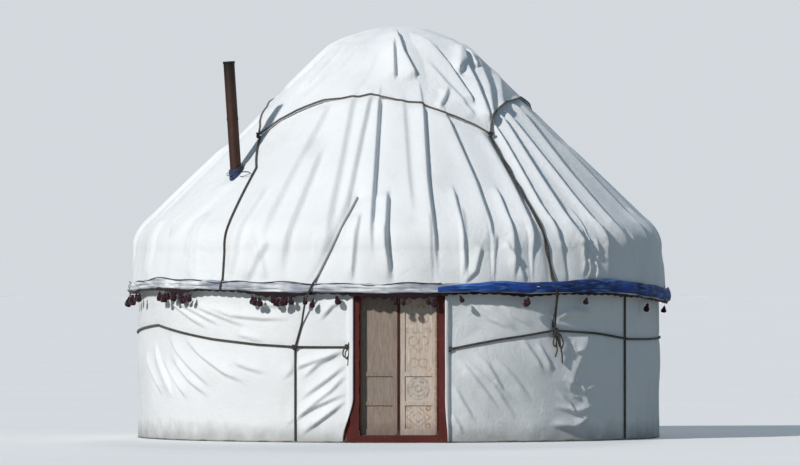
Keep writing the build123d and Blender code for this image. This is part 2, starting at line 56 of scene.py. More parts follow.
# Lines of the frame that the covers follow
POLES = 48
POLE_BAY = 7.5
POLE_FOOT_RADIUS = 2.67
BEND_HEIGHT = 1.93
BEND_RADIUS = 0.4
ROOF_SLOPE = math.radians(44.2)
COVER_OUTSIDE = 0.0413
COVER_INSIDE = 0.0173
WALL_OUTSIDE = 2.7074
LATTICE_INSIDE = 2.6568
WALL_FELT_SIDES = (2.6925, 2.685)
ROOF_FELT_THICKNESS = 0.0065
WALL_TOP = 1.55
EAVE_HEIGHT = 1.525
EAVE_RADIUS = 2.7903
ROOF_END_RADIUS = 0.775
HEM_OUTSIDE = 2.8163
CROSSING_FOOT = 0.086
CROSSING_STEP = 0.25
LASHING_HEIGHT = 1.7
CROWN_LINE = [(0.0, 4.269), (0.18, 4.259), (0.3293, 4.229), (0.5665, 4.139), (0.714, 4.064),
              (0.815, 3.9763), (1.3, 3.5047), (1.78, 3.0379)]
CROWN_FIRST_CORNER = -57.0
PIPE_FOOT = (-1.66603, -1.2784, 2.71085)
PIPE_LEAN, PIPE_AZIMUTH = 3.7, -52.5
PIPE_ON_ROOF = [(-52.6, 2.69), (-52.4, 2.73)]
BAND_THICKNESS = 0.0025
TASSEL_HEIGHT = 1.492

# The skirt's puffs end at PUFF_TOP, and the roof cover hangs with the eave below HANG_TOP
PUFF_TOP, HANG_TOP = 2.32, 1.8

# The wall cover's two edges at the door in degrees, and how it lies on the door posts
WALL_EDGES = (9.8, -9.6)
POSTS_HALF, POST_STAND = 0.52, 0.036

# Degrees on each side of the door's middle that have no thongs and no lashings
THONG_FREE, LASHING_FREE = 11.75, 11.0

# What the heights and the steep sides of roof and crown creases are multiplied by
FOLD_HEIGHT, FOLD_STEEPNESS = 0.7, 0.62

CAMERA_LENS = 337
CAMERA_PLACE, CAMERA_TARGET = (0.013, -78.0, 1.75), (0.013, 0, 2.127)

# Creases of the roof cover: places as azimuth and height, how tall, then width of the slow and steep side
ROOF_CREASES = [
    ([(-5.6, 1.8), (-6.9, 2.75), (-9.1, 3.5), (-9.6, 3.75)], 0.09, 0.17, 0.036),
    ([(-1.4, 1.56), (-2.9, 2.0), (-3.0, 2.55)], 0.085, 0.11, 0.034),
    ([(7.9, 1.6), (7.3, 2.2), (7.4, 2.62), (9.8, 3.4), (10.4, 3.75)], 0.085, 0.15, 0.034),
    ([(20.1, 1.8), (20.5, 2.62), (18.7, 3.3), (18.2, 3.7)], 0.07, 0.15, 0.044),
    ([(29.3, 1.8), (31.0, 2.57), (33.6, 3.15), (34.0, 3.5)], 0.085, 0.11, 0.036),
    ([(37.4, 1.8), (35.9, 2.4), (37.2, 3.05), (37.4, 3.4)], 0.06, 0.05, 0.03),
    ([(46.5, 1.66), (41.0, 2.2), (41.5, 2.67), (43.0, 3.16), (43.6, 3.5)], 0.085, 0.08, 0.034),
    ([(62.5, 1.66), (55.1, 2.2), (55.8, 2.75), (59.7, 3.3), (60.4, 3.6)], 0.075, 0.1, 0.036),
    ([(53.5, 1.62), (48.5, 2.25), (49.0, 3.0), (49.2, 3.5)], 0.07, 0.07, 0.032),
    ([(70.5, 1.62), (68.5, 2.2), (68.8, 2.9), (69.2, 3.6)], 0.034, 0.1, 0.036),
    ([(14.2, 1.58), (13.6, 1.95), (13.9, 2.6)], 0.052, 0.08, 0.032),
    ([(24.6, 1.58), (25.0, 1.95), (25.8, 2.6)], 0.056, 0.07, 0.032),
    ([(3.0, 2.2), (2.2, 2.7), (1.0, 3.6)], 0.03, 0.14, 0.06),
    ([(-10.0, 1.58), (-9.6, 1.9), (-8.8, 2.3)], 0.046, 0.09, 0.034),
    ([(-15.0, 1.8), (-17.3, 2.75), (-21.1, 3.45), (-22.0, 3.7)], 0.066, 0.18, 0.07),
    ([(-19.6, 1.58), (-12.5, 2.13), (-13.0, 3.1), (-13.4, 3.65)], 0.06, 0.12, 0.05),
    ([(-26.0, 1.62), (-24.5, 2.2), (-25.6, 3.0)], 0.06, 0.16, 0.05),
    ([(-30.8, 1.9), (-31.6, 2.75), (-31.7, 3.5)], 0.054, 0.2, 0.07),
    ([(-61.0, 2.06), (-58.4, 2.26), (-53.6, 2.66)], 0.13, 0.032, 0.13),
    ([(-68.0, 1.56), (-68.5, 1.94), (-70.0, 2.3)], 0.05, 0.12, 0.036),
    ([(-38.0, 1.56), (-37.0, 2.2), (-36.4, 2.6)], 0.05, 0.12, 0.04),
    ([(-49.0, 1.56), (-50.0, 2.0), (-51.0, 2.35)], 0.044, 0.14, 0.04),
    ([(-34.0, 1.56), (-32.0, 1.78), (-29.0, 2.05)], 0.05, 0.1, 0.04),
    ([(-28.5, 1.6), (-30.0, 1.8), (-33.5, 2.1)], 0.044, 0.08, 0.036),
    ([(42.0, 1.66), (43.0, 1.8), (42.6, 1.98)], 0.03, 0.03, 0.024),
    ([(43.4, 1.64), (44.6, 1.74), (44.2, 1.86)], 0.034, 0.03, 0.024),
    ([(44.0, 1.86), (45.6, 1.94), (45.2, 2.08)], 0.03, 0.03, 0.024),
    ([(45.6, 1.62), (46.8, 1.72), (46.2, 1.84)], 0.034, 0.03, 0.024),
    ([(46.6, 1.8), (47.6, 1.92), (47.2, 2.04)], 0.028, 0.03, 0.024),
    ([(41.8, 1.98), (43.4, 2.04), (44.2, 2.16)], 0.026, 0.03, 0.024),
    ([(13.0, 1.58), (16.0, 1.72), (17.6, 1.98)], 0.04, 0.07, 0.03),
    ([(27.6, 1.58), (26.2, 1.76), (23.0, 2.02)], 0.04, 0.07, 0.03),
]
# Where the skirt is pinched between its puffs, and how far the puff after each pinch stands out
PINCHES = [(-69.8, 0.012), (-53.6, 0.012), (-42.2, 0.01), (-32.6, 0.012), (-25.1, 0.014), (-18.6, 0.018),
           (-10.2, 0.022), (-1.9, 0.03), (7.1, 0.022), (12.9, 0.026), (19.8, 0.032), (28.8, 0.022),
           (33.2, 0.022), (37.9, 0.03), (44.5, 0.03), (50.9, 0.034), (60.7, 0.03)]

# Creases of the wall cover, in the same way
WALL_CREASES = [
    ([(-61.3, 1.45), (-51.9, 1.26), (-44.9, 1.13)], 0.032, 0.05, 0.017),
    ([(-59.7, 1.46), (-49.4, 1.31), (-41.5, 1.17)], 0.032, 0.05, 0.017),
    ([(-51.9, 1.41), (-42.8, 1.28), (-33.9, 1.16)], 0.032, 0.05, 0.017),
    ([(-47.1, 1.39), (-38.8, 1.28), (-30.3, 1.25), (-23.1, 1.25)], 0.03, 0.05, 0.017),
    ([(-33.9, 1.4), (-28.1, 1.38), (-22.6, 1.4)], 0.024, 0.04, 0.017),
    ([(-61.3, 1.09), (-57.2, 0.93), (-49.4, 0.7), (-44.2, 0.53)], 0.036, 0.07, 0.018),
    ([(-54.4, 1.07), (-47.1, 0.86), (-40.8, 0.7), (-33.9, 0.59)], 0.036, 0.07, 0.018),
    ([(-59.7, 0.88), (-51.9, 0.62), (-44.9, 0.44)], 0.032, 0.06, 0.018),
    ([(-63.6, 0.85), (-58.2, 0.64), (-51.9, 0.41)], 0.034, 0.06, 0.018),
    ([(-74.3, 0.92), (-67.5, 0.64), (-62.5, 0.43)], 0.034, 0.08, 0.022),
    ([(-67.5, 1.04), (-64.2, 0.76), (-58.2, 0.41)], 0.03, 0.07, 0.02),
    ([(-38.8, 0.82), (-33.9, 0.75), (-29.2, 0.7)], 0.022, 0.06, 0.02),
    ([(-38.2, 1.1), (-31.5, 1.03), (-29.2, 1.02)], 0.018, 0.05, 0.02),
    ([(-26.4, 0.61), (-22.6, 0.75), (-15.3, 0.87), (-11.0, 0.96)], 0.03, 0.06, 0.018),
    ([(-25.8, 0.14), (-19.4, 0.34), (-10.2, 0.52)], 0.034, 0.07, 0.018),
    ([(-21.5, 0.62), (-17.3, 0.8), (-10.6, 0.96)], 0.028, 0.05, 0.018),
    ([(-22.0, 0.06), (-16.3, 0.25), (-10.6, 0.45)], 0.034, 0.06, 0.018),
    ([(-17.3, 1.22), (-14.3, 1.38), (-10.6, 1.46)], 0.028, 0.05, 0.018),
    ([(-22.0, 0.42), (-15.3, 0.64), (-10.4, 0.82)], 0.03, 0.06, 0.018),
    ([(-21.0, 0.3), (-14.7, 0.52), (-10.6, 0.72)], 0.026, 0.05, 0.018),
    ([(11.9, 0.89), (16.7, 0.62), (22.7, 0.28)], 0.02, 0.06, 0.018),
    ([(15.6, 0.94), (19.4, 0.77), (22.7, 0.52), (26.7, 0.38)], 0.018, 0.07, 0.018),
    ([(26.7, 1.08), (30.8, 0.84), (33.2, 0.67)], 0.018, 0.06, 0.018),
    ([(14.5, 1.42), (19.4, 1.25), (25.5, 1.13)], 0.018, 0.05, 0.016),
    ([(17.2, 1.4), (22.7, 1.24), (26.7, 1.1)], 0.016, 0.05, 0.016),
    ([(11.4, 0.6), (14.0, 0.38), (16.7, 0.19)], 0.018, 0.05, 0.018),
    ([(11.1, 0.31), (13.0, 0.16), (14.0, 0.07)], 0.016, 0.04, 0.016),
    ([(20.5, 0.86), (24.9, 0.67), (30.2, 0.38)], 0.016, 0.07, 0.02),
    ([(12.4, 0.91), (20.5, 0.57), (26.7, 0.18)], 0.016, 0.08, 0.02),
    ([(21.0, 1.42), (24.9, 1.28), (30.8, 1.15)], 0.016, 0.06, 0.018),
    ([(30.8, 1.03), (33.9, 0.81), (35.1, 0.67)], 0.018, 0.05, 0.02),
    ([(35.8, 1.25), (40.4, 1.31), (47.0, 1.27)], 0.06, 0.05, 0.026),
    ([(45.5, 1.25), (44.7, 1.03), (41.1, 0.71), (38.4, 0.42)], 0.036, 0.14, 0.04),
    ([(37.1, 0.66), (44.0, 0.51), (50.2, 0.58)], 0.026, 0.05, 0.02),
    ([(35.1, 0.37), (41.8, 0.3), (48.6, 0.37)], 0.024, 0.04, 0.02),
    ([(33.9, 0.18), (41.1, 0.15), (47.0, 0.27)], 0.034, 0.05, 0.024),
    ([(39.1, 1.01), (41.1, 0.91), (44.0, 0.93)], 0.022, 0.03, 0.018),
    ([(39.0, 0.6), (41.0, 0.46), (44.0, 0.42)], 0.016, 0.03, 0.018),
    ([(42.0, 0.66), (45.0, 0.44), (46.0, 0.34)], 0.018, 0.03, 0.018),
    ([(36.0, 0.52), (40.0, 0.38), (42.0, 0.22)], 0.016, 0.03, 0.018),
]

# Creases of the crown cover, in the same way but with places as azimuth and radius
CROWN_CREASES = [
    ([(-6.5, 0.3), (-1.0, 0.62), (3.0, 0.82), (9.4, 1.1)], 0.112, 0.12, 0.036),
    ([(-5.0, 0.66), (-2.4, 1.1)], 0.072, 0.09, 0.032),
    ([(12.0, 0.34), (24.0, 0.66), (31.0, 0.98), (32.6, 1.4)], 0.075, 0.12, 0.032),
    ([(58.0, 0.46), (50.0, 0.78), (41.0, 1.16), (34.6, 1.6)], 0.09, 0.1, 0.034),
    ([(84.0, 0.62), (66.0, 0.86), (48.0, 1.22), (36.0, 1.62)], 0.085, 0.09, 0.034),
    ([(92.0, 0.95), (70.0, 1.1), (50.0, 1.38), (38.0, 1.66)], 0.06, 0.08, 0.034),
    ([(57.0, 0.76), (46.0, 0.89), (34.0, 1.04)], 0.12, 0.05, 0.05),
    ([(60.0, 0.74), (57.0, 0.86), (52.0, 0.98)], 0.08, 0.04, 0.034),
    ([(25.5, 1.2), (20.0, 1.34), (16.6, 1.42)], 0.05, 0.05, 0.02),
    ([(16.0, 0.86), (24.0, 1.16), (30.5, 1.52)], 0.036, 0.09, 0.04),
    ([(-30.0, 0.6), (-38.0, 1.0), (-47.0, 1.35)], 0.018, 0.12, 0.05),
    ([(-60.0, 0.55), (-58.0, 1.0), (-57.0, 1.6)], 0.026, 0.14, 0.06),
    ([(-16.0, 0.7), (-18.0, 1.0), (-22.0, 1.28)], 0.014, 0.14, 0.06),
]

# Ropes over the covers, as azimuth and height from top to bottom
TIES = {
    "crown_tie_right_front": [(33.0, 3.1), (32.8, 2.2), (35.4, 1.16), (35.4, 1.062)],
    "crown_tie_left_front": [(-56.6, 3.1), (-45.6, 2.777), (-41.1, 2.205), (-39.8, 1.535)],
    "crown_tie_right_rear": [(123.0, 3.1), (124.0, 2.2), (125.5, 0.995)],
    "crown_tie_left_rear": [(-147.0, 3.1), (-146.0, 2.2), (-144.5, 0.99)],
    "roof_tie_front": [(-10.2, 2.465), (-13.3, 2.075), (-19.8, 1.399), (-22.6, 0.957), (-22.6, 0.014)],
    "roof_tie_rear": [(168.0, 2.465), (165.0, 2.075), (159.0, 1.399), (157.0, 0.957), (157.0, 0.014)],
}
WALL_TIE = [(58.4, 1.52), (58.4, 0.014)]
# Height and radius of the line that ties follow below the roof
TIE_LINE = [(0.0, WALL_OUTSIDE), (1.19, WALL_OUTSIDE), (1.447, 2.8), (1.5, HEM_OUTSIDE + 0.002), (1.57, HEM_OUTSIDE),
            (1.64, 2.77)]
BELT = [(10.75, 0.94), (22.2, 1.04), (35.4, 1.13), (47.4, 1.09), (59.3, 1.03), (80.0, 1.03), (125.0, 1.06),
        (180.0, 1.05), (235.0, 1.06), (270.0, 1.09), (294.6, 1.17), (315.7, 1.04), (328.3, 0.98),
        (337.4, 0.96), (349.25, 0.965)]
BELT_CROSSINGS = [35.4, 58.4, 125.5, 157.4, 215.5, 337.4]
# Azimuth, height and distance from the wall of the belt's knots
BELT_KNOTS = [(35.4, 1.13, 0.034), (-10.9, 0.966, 0.016), (10.9, 0.941, 0.016), (-22.6, 0.96, 0.03)]
# Ends and loops at two of the knots, as steps sideways, outward and downward
BOW_ENDS = [
    [(0, 0, 0), (0.05, 0.01, 0.05), (0.085, 0.01, 0.13), (0.06, 0.008, 0.19), (0.03, 0.006, 0.15), (0.01, 0.004, 0.05)],
    [(0, 0, 0), (-0.03, 0.008, 0.05), (-0.045, 0.006, 0.14), (-0.01, 0.004, 0.17), (0.006, 0.002, 0.06)],
    [(0, 0, 0), (0.03, 0.012, 0.06), (0.05, 0.004, 0.16), (0.075, -0.004, 0.24), (0.08, -0.008, 0.33)],
    [(0, 0, 0), (-0.01, 0.01, 0.08), (0.01, 0.002, 0.2), (-0.01, -0.004, 0.27)],
]
POST_LOOPS = [
    [(0, 0, 0), (-0.045, 0.012, 0.03), (-0.05, 0.012, 0.09), (-0.01, 0.01, 0.12), (0.02, 0.008, 0.07), (0.01, 0, 0)],
    [(0, 0, 0), (0.015, 0.01, -0.05), (0.012, 0.01, 0.06), (0, 0.004, 0.19)],
]

# Sections and turned profiles, as distance out and height, and the blue band's rise by azimuth
ROLL_SECTION = [(0.002, -0.014), (0.014, -0.016), (0.024, -0.006), (0.026, 0.006), (0.017, 0.015), (0.025, 0.024),
                (0.026, 0.036), (0.018, 0.05), (0.006, 0.06), (-0.004, 0.062), (-0.006, 0.03), (-0.004, 0.0)]
TASSEL_PROFILE = [(0.0, 0.0), (0.0022, -0.004), (0.0022, -0.02), (0.009, -0.026), (0.013, -0.036), (0.01, -0.044),
                  (0.016, -0.052), (0.021, -0.07), (0.02, -0.088), (0.014, -0.099), (0.0, -0.101)]
THONG_PROFILE = [(0.0, -0.0075), (0.005, -0.0065), (0.0085, -0.002), (0.0085, 0.002), (0.0, 0.004)]
BAND_RISE = [(8, 0.062), (16, 0.086), (30, 0.112), (45, 0.13), (90, 0.125), (180, 0.1), (262, 0.03)]

# Painted rings of a door panel: distance from its middle, height, radius and what cuts some to an arc
SCROLL = [(0.0, 0.542, 0.108), (0.0, 0.542, 0.074), (0.0, 0.542, 0.03), (0.1, 0.345, 0.022), (0.1, 0.165, 0.022),
          (0.055, 0.542, 0.019), (0.045, 0.8, 0.045), (0.045, 0.915, 0.034, "GREATER_THAN", -0.01),
          (0.052, 1.02, 0.046), (0.034, 1.135, 0.034, "LESS_THAN", 0.02), (0.05, 1.245, 0.044),
          (0.03, 1.355, 0.03, "GREATER_THAN", -0.01), (0.1, 0.74, 0.022), (0.104, 1.13, 0.02), (0.104, 1.42, 0.02)]

# Azimuths of the tassels in view
TASSELS = [-78.4, -75.6, -72.1, -60.9, -60.0, -58.2, -57.2, -55.9, -54.3, -53.0, -51.7, -50.4, -49.2, -31.8, -31.0,
           -30.2, -27.4, -26.6, -25.6, -24.4, -23.6, -23.0, -19.9, -17.8, -13.1, -0.5, 1.3, 6.2, 7.1, 12.6, 27.0,
           27.9, 43.0, 66.0]


# Meshes

def quads(ids):
    """Four-sided faces between the neighbours in a grid of point numbers."""
    return np.stack([ids[:-1, :-1], ids[:-1, 1:], ids[1:, 1:], ids[1:, :-1]], -1).reshape(-1, 4)


def grid_mesh(name, outside, inside, around, apex=None):
    """A closed skin between two grids of points, rows upwards and columns to the right.

    The inner skin takes every second row and column of its grid. Around joins the last column to
    the first, and apex gives the outer and inner point that close the top.
    """
    inside = inside[::2, ::2]
    fine = np.arange(outside[..., 0].size).reshape(outside.shape[:2])
    coarse = fine.size + np.arange(inside[..., 0].size).reshape(inside.shape[:2])
    points = np.concatenate([outside.reshape(-1, 3), inside.reshape(-1, 3)])
    if around:
        fine, coarse = (np.pad(ids, ((0, 0), (0, 1)), "wrap") for ids in (fine, coarse))
    faces = quads(fine).tolist() + quads(coarse)[:, [0, 3, 2, 1]].tolist()

    def rim(long_line, short_line, flip):
        for j in range(len(short_line) - 1):
            a, b, c = (int(x) for x in long_line[2 * j:2 * j + 3])
            k, l = int(short_line[j]), int(short_line[j + 1])
            for face in ((b, a, k), (c, b, l), (b, k, l)):
                faces.append(face[::-1] if flip else face)

    rim(fine[0], coarse[0], False)
    if not around:
        rim(fine[:, -1], coarse[:, -1], False)
        rim(fine[:, 0], coarse[:, 0], True)
    if apex is None:
        rim(fine[-1], coarse[-1], True)
    else:
        top = len(points)
        points = np.concatenate([points, np.array(apex)])
        faces += [(int(a), int(b), top) for a, b in zip(fine[-1], fine[-1][1:])]
        faces += [(int(b), int(a), top + 1) for a, b in zip(coarse[-1], coarse[-1][1:])]
    return plain_mesh(name, points, faces)


def in_scene(name, data):
    """A new object in the scene."""
    thing = bpy.data.objects.new(name, data)
    bpy.context.scene.collection.objects.link(thing)
    return thing


def plain_mesh(name, points, faces, smooth=True):
    """A mesh object at the origin from its points and faces."""
    mesh = bpy.data.meshes.new(name)
    mesh.from_pydata([tuple(map(float, p)) for p in points], [], [tuple(f) for f in faces])
    mesh.polygons.foreach_set("use_smooth", [smooth] * len(mesh.polygons))
    mesh.update()
    return in_scene(name, mesh)


def turned_form(name, profile, sides, fray=0.0, lying=False):
    """A small form turned from radii and heights, upright or lying along Y, its lower half frayed."""
    points = []
    for out, level in profile:
        for k in range(sides):
            wide = out * (1 + (fray if level < -0.06 and k % 2 else 0.0))
            angle = FULL_TURN * k / sides
            points.append((wide * math.cos(angle), wide * math.sin(angle), level))
    ids = np.arange(len(points)).reshape(-1, sides)
    faces = quads(np.pad(ids, ((0, 0), (0, 1)), "wrap"))
    if lying:
        points = [(x, z, y) for x, y, z in points]
    else:
        faces = faces[:, [0, 3, 2, 1]]
    piece = plain_mesh(name, points, faces.tolist())
    mesh = bmesh.new()
    mesh.from_mesh(piece.data)
    bmesh.ops.remove_doubles(mesh, verts=mesh.verts, dist=1e-5)
    bmesh.ops.dissolve_degenerate(mesh, edges=mesh.edges, dist=1e-6)
    bmesh.ops.recalc_face_normals(mesh, faces=mesh.faces)
    mesh.to_mesh(piece.data)
    mesh.free()
    return piece


def finish_piece(piece, material, replaces=()):
    """Gives a piece of the house its material and the frame nodes that it stands for."""
    piece.data.materials.clear()
    piece.data.materials.append(material)
    if replaces:
        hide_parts(*replaces)
    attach(piece, "house")
    return piece


def unit(vectors):
    """Vectors at a length of one."""
    return vectors / np.linalg.norm(vectors, axis=-1, keepdims=True)


def run_of(path):
    """Distance along a path from its first point to each of its points."""
    return np.concatenate([[0], np.cumsum(np.linalg.norm(np.diff(path, axis=0), axis=1))])


def tube(path, radius, sides=8, strands=0, lay=0.05, closed=False):
    """Points and faces of a round or stranded tube along a path of points."""
    path = np.asarray(path, float)
    if closed:
        along = unit(np.roll(path, -1, 0) - np.roll(path, 1, 0))
    else:
        along = unit(np.gradient(path, axis=0))
    across = [unit(np.cross(along[0], [0.3, 0.5, 0.81]))]
    for step in along[1:]:
        across.append(unit(across[-1] - step * np.dot(across[-1], step)))
    across = np.array(across)
    twist = 0.0
    if closed:
        back = np.cross(along[0], across[0])
        end = across[-1] - along[0] * np.dot(across[-1], along[0])
        twist = -math.atan2(np.dot(end, back), np.dot(end, across[0]))
    up = np.cross(along, across)
    distance = run_of(path)
    share = distance / max(distance[-1], 1e-9)
    angle = np.linspace(0, FULL_TURN, sides, endpoint=False)[None, :] + twist * share[:, None]
    size = np.full(angle.shape, radius, float)
    if strands:
        phase = angle - FULL_TURN * distance[:, None] / lay
        size *= 0.78 + 0.22 * np.abs(np.cos(phase * strands / 2)) ** 0.6 * 1.1
    points = (path[:, None] + across[:, None] * (np.cos(angle) * size)[..., None]
              + up[:, None] * (np.sin(angle) * size)[..., None]).reshape(-1, 3)
    ids = np.arange(size.size).reshape(size.shape)
    faces = quads(np.pad(ids, ((0, int(closed)), (0, 1)), "wrap")).tolist()
    if not closed:
        faces += [ids[0][::-1].tolist(), ids[-1].tolist()]
    return points, faces


def joined(parts):
    """Several sets of points and faces as one."""
    points, faces, start = [], [], 0
    for part_points, part_faces in parts:
        points.append(np.asarray(part_points, float))
        faces += [[i + start for i in face] for face in part_faces]
        start += len(part_points)
    return np.concatenate(points), faces


def smooth_path(corners, step):
    """A path through corners with its bends rounded, a point every step."""
    corners = np.asarray(corners, float)
    length = run_of(corners)
    marks = np.linspace(0, length[-1], max(4, int(length[-1] / step) + 1))
    path = np.stack([np.interp(marks, length, corners[:, i]) for i in range(3)], -1)
    for _ in range(3):
        path[1:-1] = (path[:-2] + 2 * path[1:-1] + path[2:]) / 4
    return path


# Cloth

def columns_dense_in_front(count, ends=None):
    """Azimuths in radians, all round or between two ends, most of them within 78 degrees of the door."""
    if ends is None:
        share, marks = [0, 0.08, 0.23, 0.66, 0.74, 1.0], [-100, -74, -12, 78, 106, 260]
    else:
        share, marks = [0, 0.28, 0.38, 0.62, 0.72, 1.0], [ends[0], 66, 100, 260, 294, ends[1]]
    return np.radians(np.interp(np.linspace(0, 1, count, endpoint=ends is not None), share, marks))


def ease(value):
    """Smooth step from 0 to 1."""
    value = np.clip(value, 0, 1)
    return value * value * (3 - 2 * value)


def turn_between(azimuth, middle):
    """Angle from a middle azimuth, in radians between minus and plus half a turn."""
    return (azimuth - middle + math.pi) % FULL_TURN - math.pi


def bell(azimuth, middle, width, power=2):
    """A rise to 1 about a middle azimuth in degrees, its width in radians."""
    return np.exp(-(turn_between(azimuth, math.radians(middle)) / width) ** power)


def crease_shape(across, slow, steep, dip=0.35):
    """Height across a crease: a slow rise on one side of its crest and a steep drop on the other."""
    right = np.clip(across, 0, None)
    rise = np.exp(-np.abs(across / slow) ** 1.5)
    drop = (1 + dip) * np.exp(-(right / steep) ** 2) - dip * np.exp(-right / (3 * steep))
    return np.where(across < 0, rise, drop)


def beside_line(x, y, line):
    """Distance to a line of points, with a sign for its side, and the share of the way along it."""
    line = np.asarray(line, float)
    total = np.linalg.norm(np.diff(line, axis=0), axis=1).sum()
    across, along = np.full(x.shape, 1e9), np.zeros(x.shape)
    done = 0.0
    for start, end in zip(line, line[1:]):
        length = np.linalg.norm(end - start)
        run = (end - start) / length
        dx, dy = x - start[0], y - start[1]
        t = np.clip(dx * run[0] + dy * run[1], 0, length)
        distance = np.hypot(dx - run[0] * t, dy - run[1] * t)
        side = np.where(dx * run[1] - dy * run[0] >= 0, 1.0, -1.0)
        closer = distance < np.abs(across)
        across = np.where(closer, side * distance, across)
        along = np.where(closer, (done + t) / total, along)
        done += length
    return across, along


def crease(x, y, line, slow, steep, fade):
    """A crease along a line of points, as a height between 0 and about 1, faded at its two ends."""
    across, along = beside_line(x, y, line)
    return crease_shape(across, slow, steep) * (ease(along / fade[0]) * ease((1 - along) / fade[1]))


def unrolled(azimuth, places, radius_at):
    """Azimuths and a line, given as azimuth and height, laid flat about the line's middle."""
    middle = math.radians(sum(a for a, z in places) / len(places))
    line = [((math.radians(a) - middle) * radius_at(z), z) for a, z in places]
    return turn_between(azimuth, middle), line


def add_creases(field, azimuth, height, radius, creases, radius_at, fade):
    """Adds creases, given as azimuth and height, to a field over a cover."""
    for places, tall, slow, steep in creases:
        turn, line = unrolled(azimuth, places, radius_at)
        (first_x, first_z), (last_x, last_z) = line[0], line[-1]
        if first_z > last_z and abs(first_z - last_z) > abs(first_x - last_x):
            line = line[::-1]
        near = np.abs(turn) < 0.8
        field[near] += tall * crease((turn * radius)[near], height[near], line, slow, steep, fade)


def distance_to_line(azimuth, height, radius, places, radius_at):
    """Distance over a cover from a line given as azimuth and height."""
    turn, line = unrolled(azimuth, places, radius_at)
    return np.abs(beside_line(turn * radius, height, line)[0])


def press_under_ropes(field, azimuth, height, radius, ropes, radius_at, width, sunk):
    """A field with a groove of a width under each rope."""
    for places in ropes:
        gap = distance_to_line(azimuth, height, radius, places, radius_at)
        held = np.exp(-(gap / width) ** 2)
        field = field * (1 - held) - sunk * held
    return field


def ripple(azimuth, seed, waves, height=0.0):
    """A soft uneven swell round the house: sums of whole waves, so that it closes."""
    draw = np.random.default_rng(seed)
    total = np.zeros(np.shape(azimuth))
    for count, size in waves:
        for _ in range(4):
            k = draw.integers(int(count * 0.7), int(count * 1.3) + 1)
            total += size / 2 * np.sin(k * azimuth + draw.uniform(-3, 3) * height * 2 + draw.uniform(0, 6.3))
    return total


def eave_lift(azimuth):
    """How far the hem hangs above its even line: high at the left front, low at the right end."""
    swing = 0.045 * bell(azimuth, -56, 0.36) - 0.1 * bell(azimuth, 88, 0.44)
    return swing + ripple(azimuth, 52, [(12, 0.007), (31, 0.003)])


def hem_swell(azimuth):
    """How far the rolled hem stands out of its even line."""
    return ripple(azimuth, 51, [(14, 0.009), (41, 0.005)])


def worn_in(displacement, thickness, around):
    """The inner skin's displacement: the least of its neighbours, so that it never shows outside."""
    low = displacement
    for axis, mode in enumerate(("edge", "wrap" if around else "edge")):
        wide = np.pad(low, [(2, 2) if each == axis else (0, 0) for each in (0, 1)], mode)
        low = np.lib.stride_tricks.sliding_window_view(wide, 5, axis).min(-1)
    return low - thickness


def on_bearing(azimuth, radius, height):
    """Points at azimuths in radians, radii and heights."""
    return np.stack([radius * np.sin(azimuth), -radius * np.cos(azimuth), height + 0 * azimuth], -1)


def spot(azimuth, radius, height):
    """One point at an azimuth in degrees."""
    return on_bearing(math.radians(azimuth), radius, height)


def roof_line(offset):
    """Length, radius and height along a line outside the poles' one, from the hem to the crown."""
    turn = np.linspace(0, math.pi / 2 - ROOF_SLOPE, 20)
    reach = BEND_RADIUS + offset
    bend = POLE_FOOT_RADIUS - BEND_RADIUS + reach * np.cos(turn)
    rise = BEND_HEIGHT + reach * np.sin(turn)
    end = rise[-1] + (bend[-1] - ROOF_END_RADIUS) * math.tan(ROOF_SLOPE)
    radius = np.array([EAVE_RADIUS - COVER_OUTSIDE + offset, *bend, ROOF_END_RADIUS])
    height = np.array([EAVE_HEIGHT, *rise, end])
    return run_of(np.stack([radius, height], -1)), radius, height


def sampled(line, marks, reach=0.03):
    """Radius, height and outward normal of a line at distances along it."""
    length, radius, height = line
    before, after = np.clip(marks - reach, 0, length[-1]), np.clip(marks + reach, 0, length[-1])
    dr = np.interp(after, length, radius) - np.interp(before, length, radius)
    dz = np.interp(after, length, height) - np.interp(before, length, height)
    size = np.hypot(dr, dz)
    return np.interp(marks, length, radius), np.interp(marks, length, height), dz / size, -dr / size


def roof_radius_at(height):
    """Radius of the roof cover at a height."""
    radius, z = roof_line(COVER_OUTSIDE)[1:]
    return float(np.interp(height, z, radius))


def wall_radius_at(height):
    """Radius of the wall cover, the same at each height."""
    return WALL_OUTSIDE


def belt_height(azimuth):
    """Height of the belt rope at azimuths in degrees."""
    return np.interp(azimuth, [a for a, z in BELT], [z for a, z in BELT])


def unseen_roof_creases():
    """Creases for the roof's sides that are out of sight, in the manner of the ones in view."""
    draw = np.random.default_rng(11)
    creases = []
    azimuth, last = 66, 283
    while azimuth < last:
        azimuth += 7.5 * draw.uniform(0.5, 1.5)
        lean = draw.uniform(-5, 5)
        tall = draw.uniform(0.03, 0.09) * (0.6 if azimuth > 235 else 0.4 if azimuth < 118 else 1.0)
        foot, top = draw.uniform(1.58, 2.1), draw.choice([2.4, 2.7, 3.1, 3.6, 3.7])
        places = [(azimuth + lean, foot), (azimuth + lean * 0.3, (foot + top) / 2), (azimuth, top)]
        creases.append((places, tall, draw.uniform(0.08, 0.2), draw.uniform(0.044, 0.06)))
    return creases


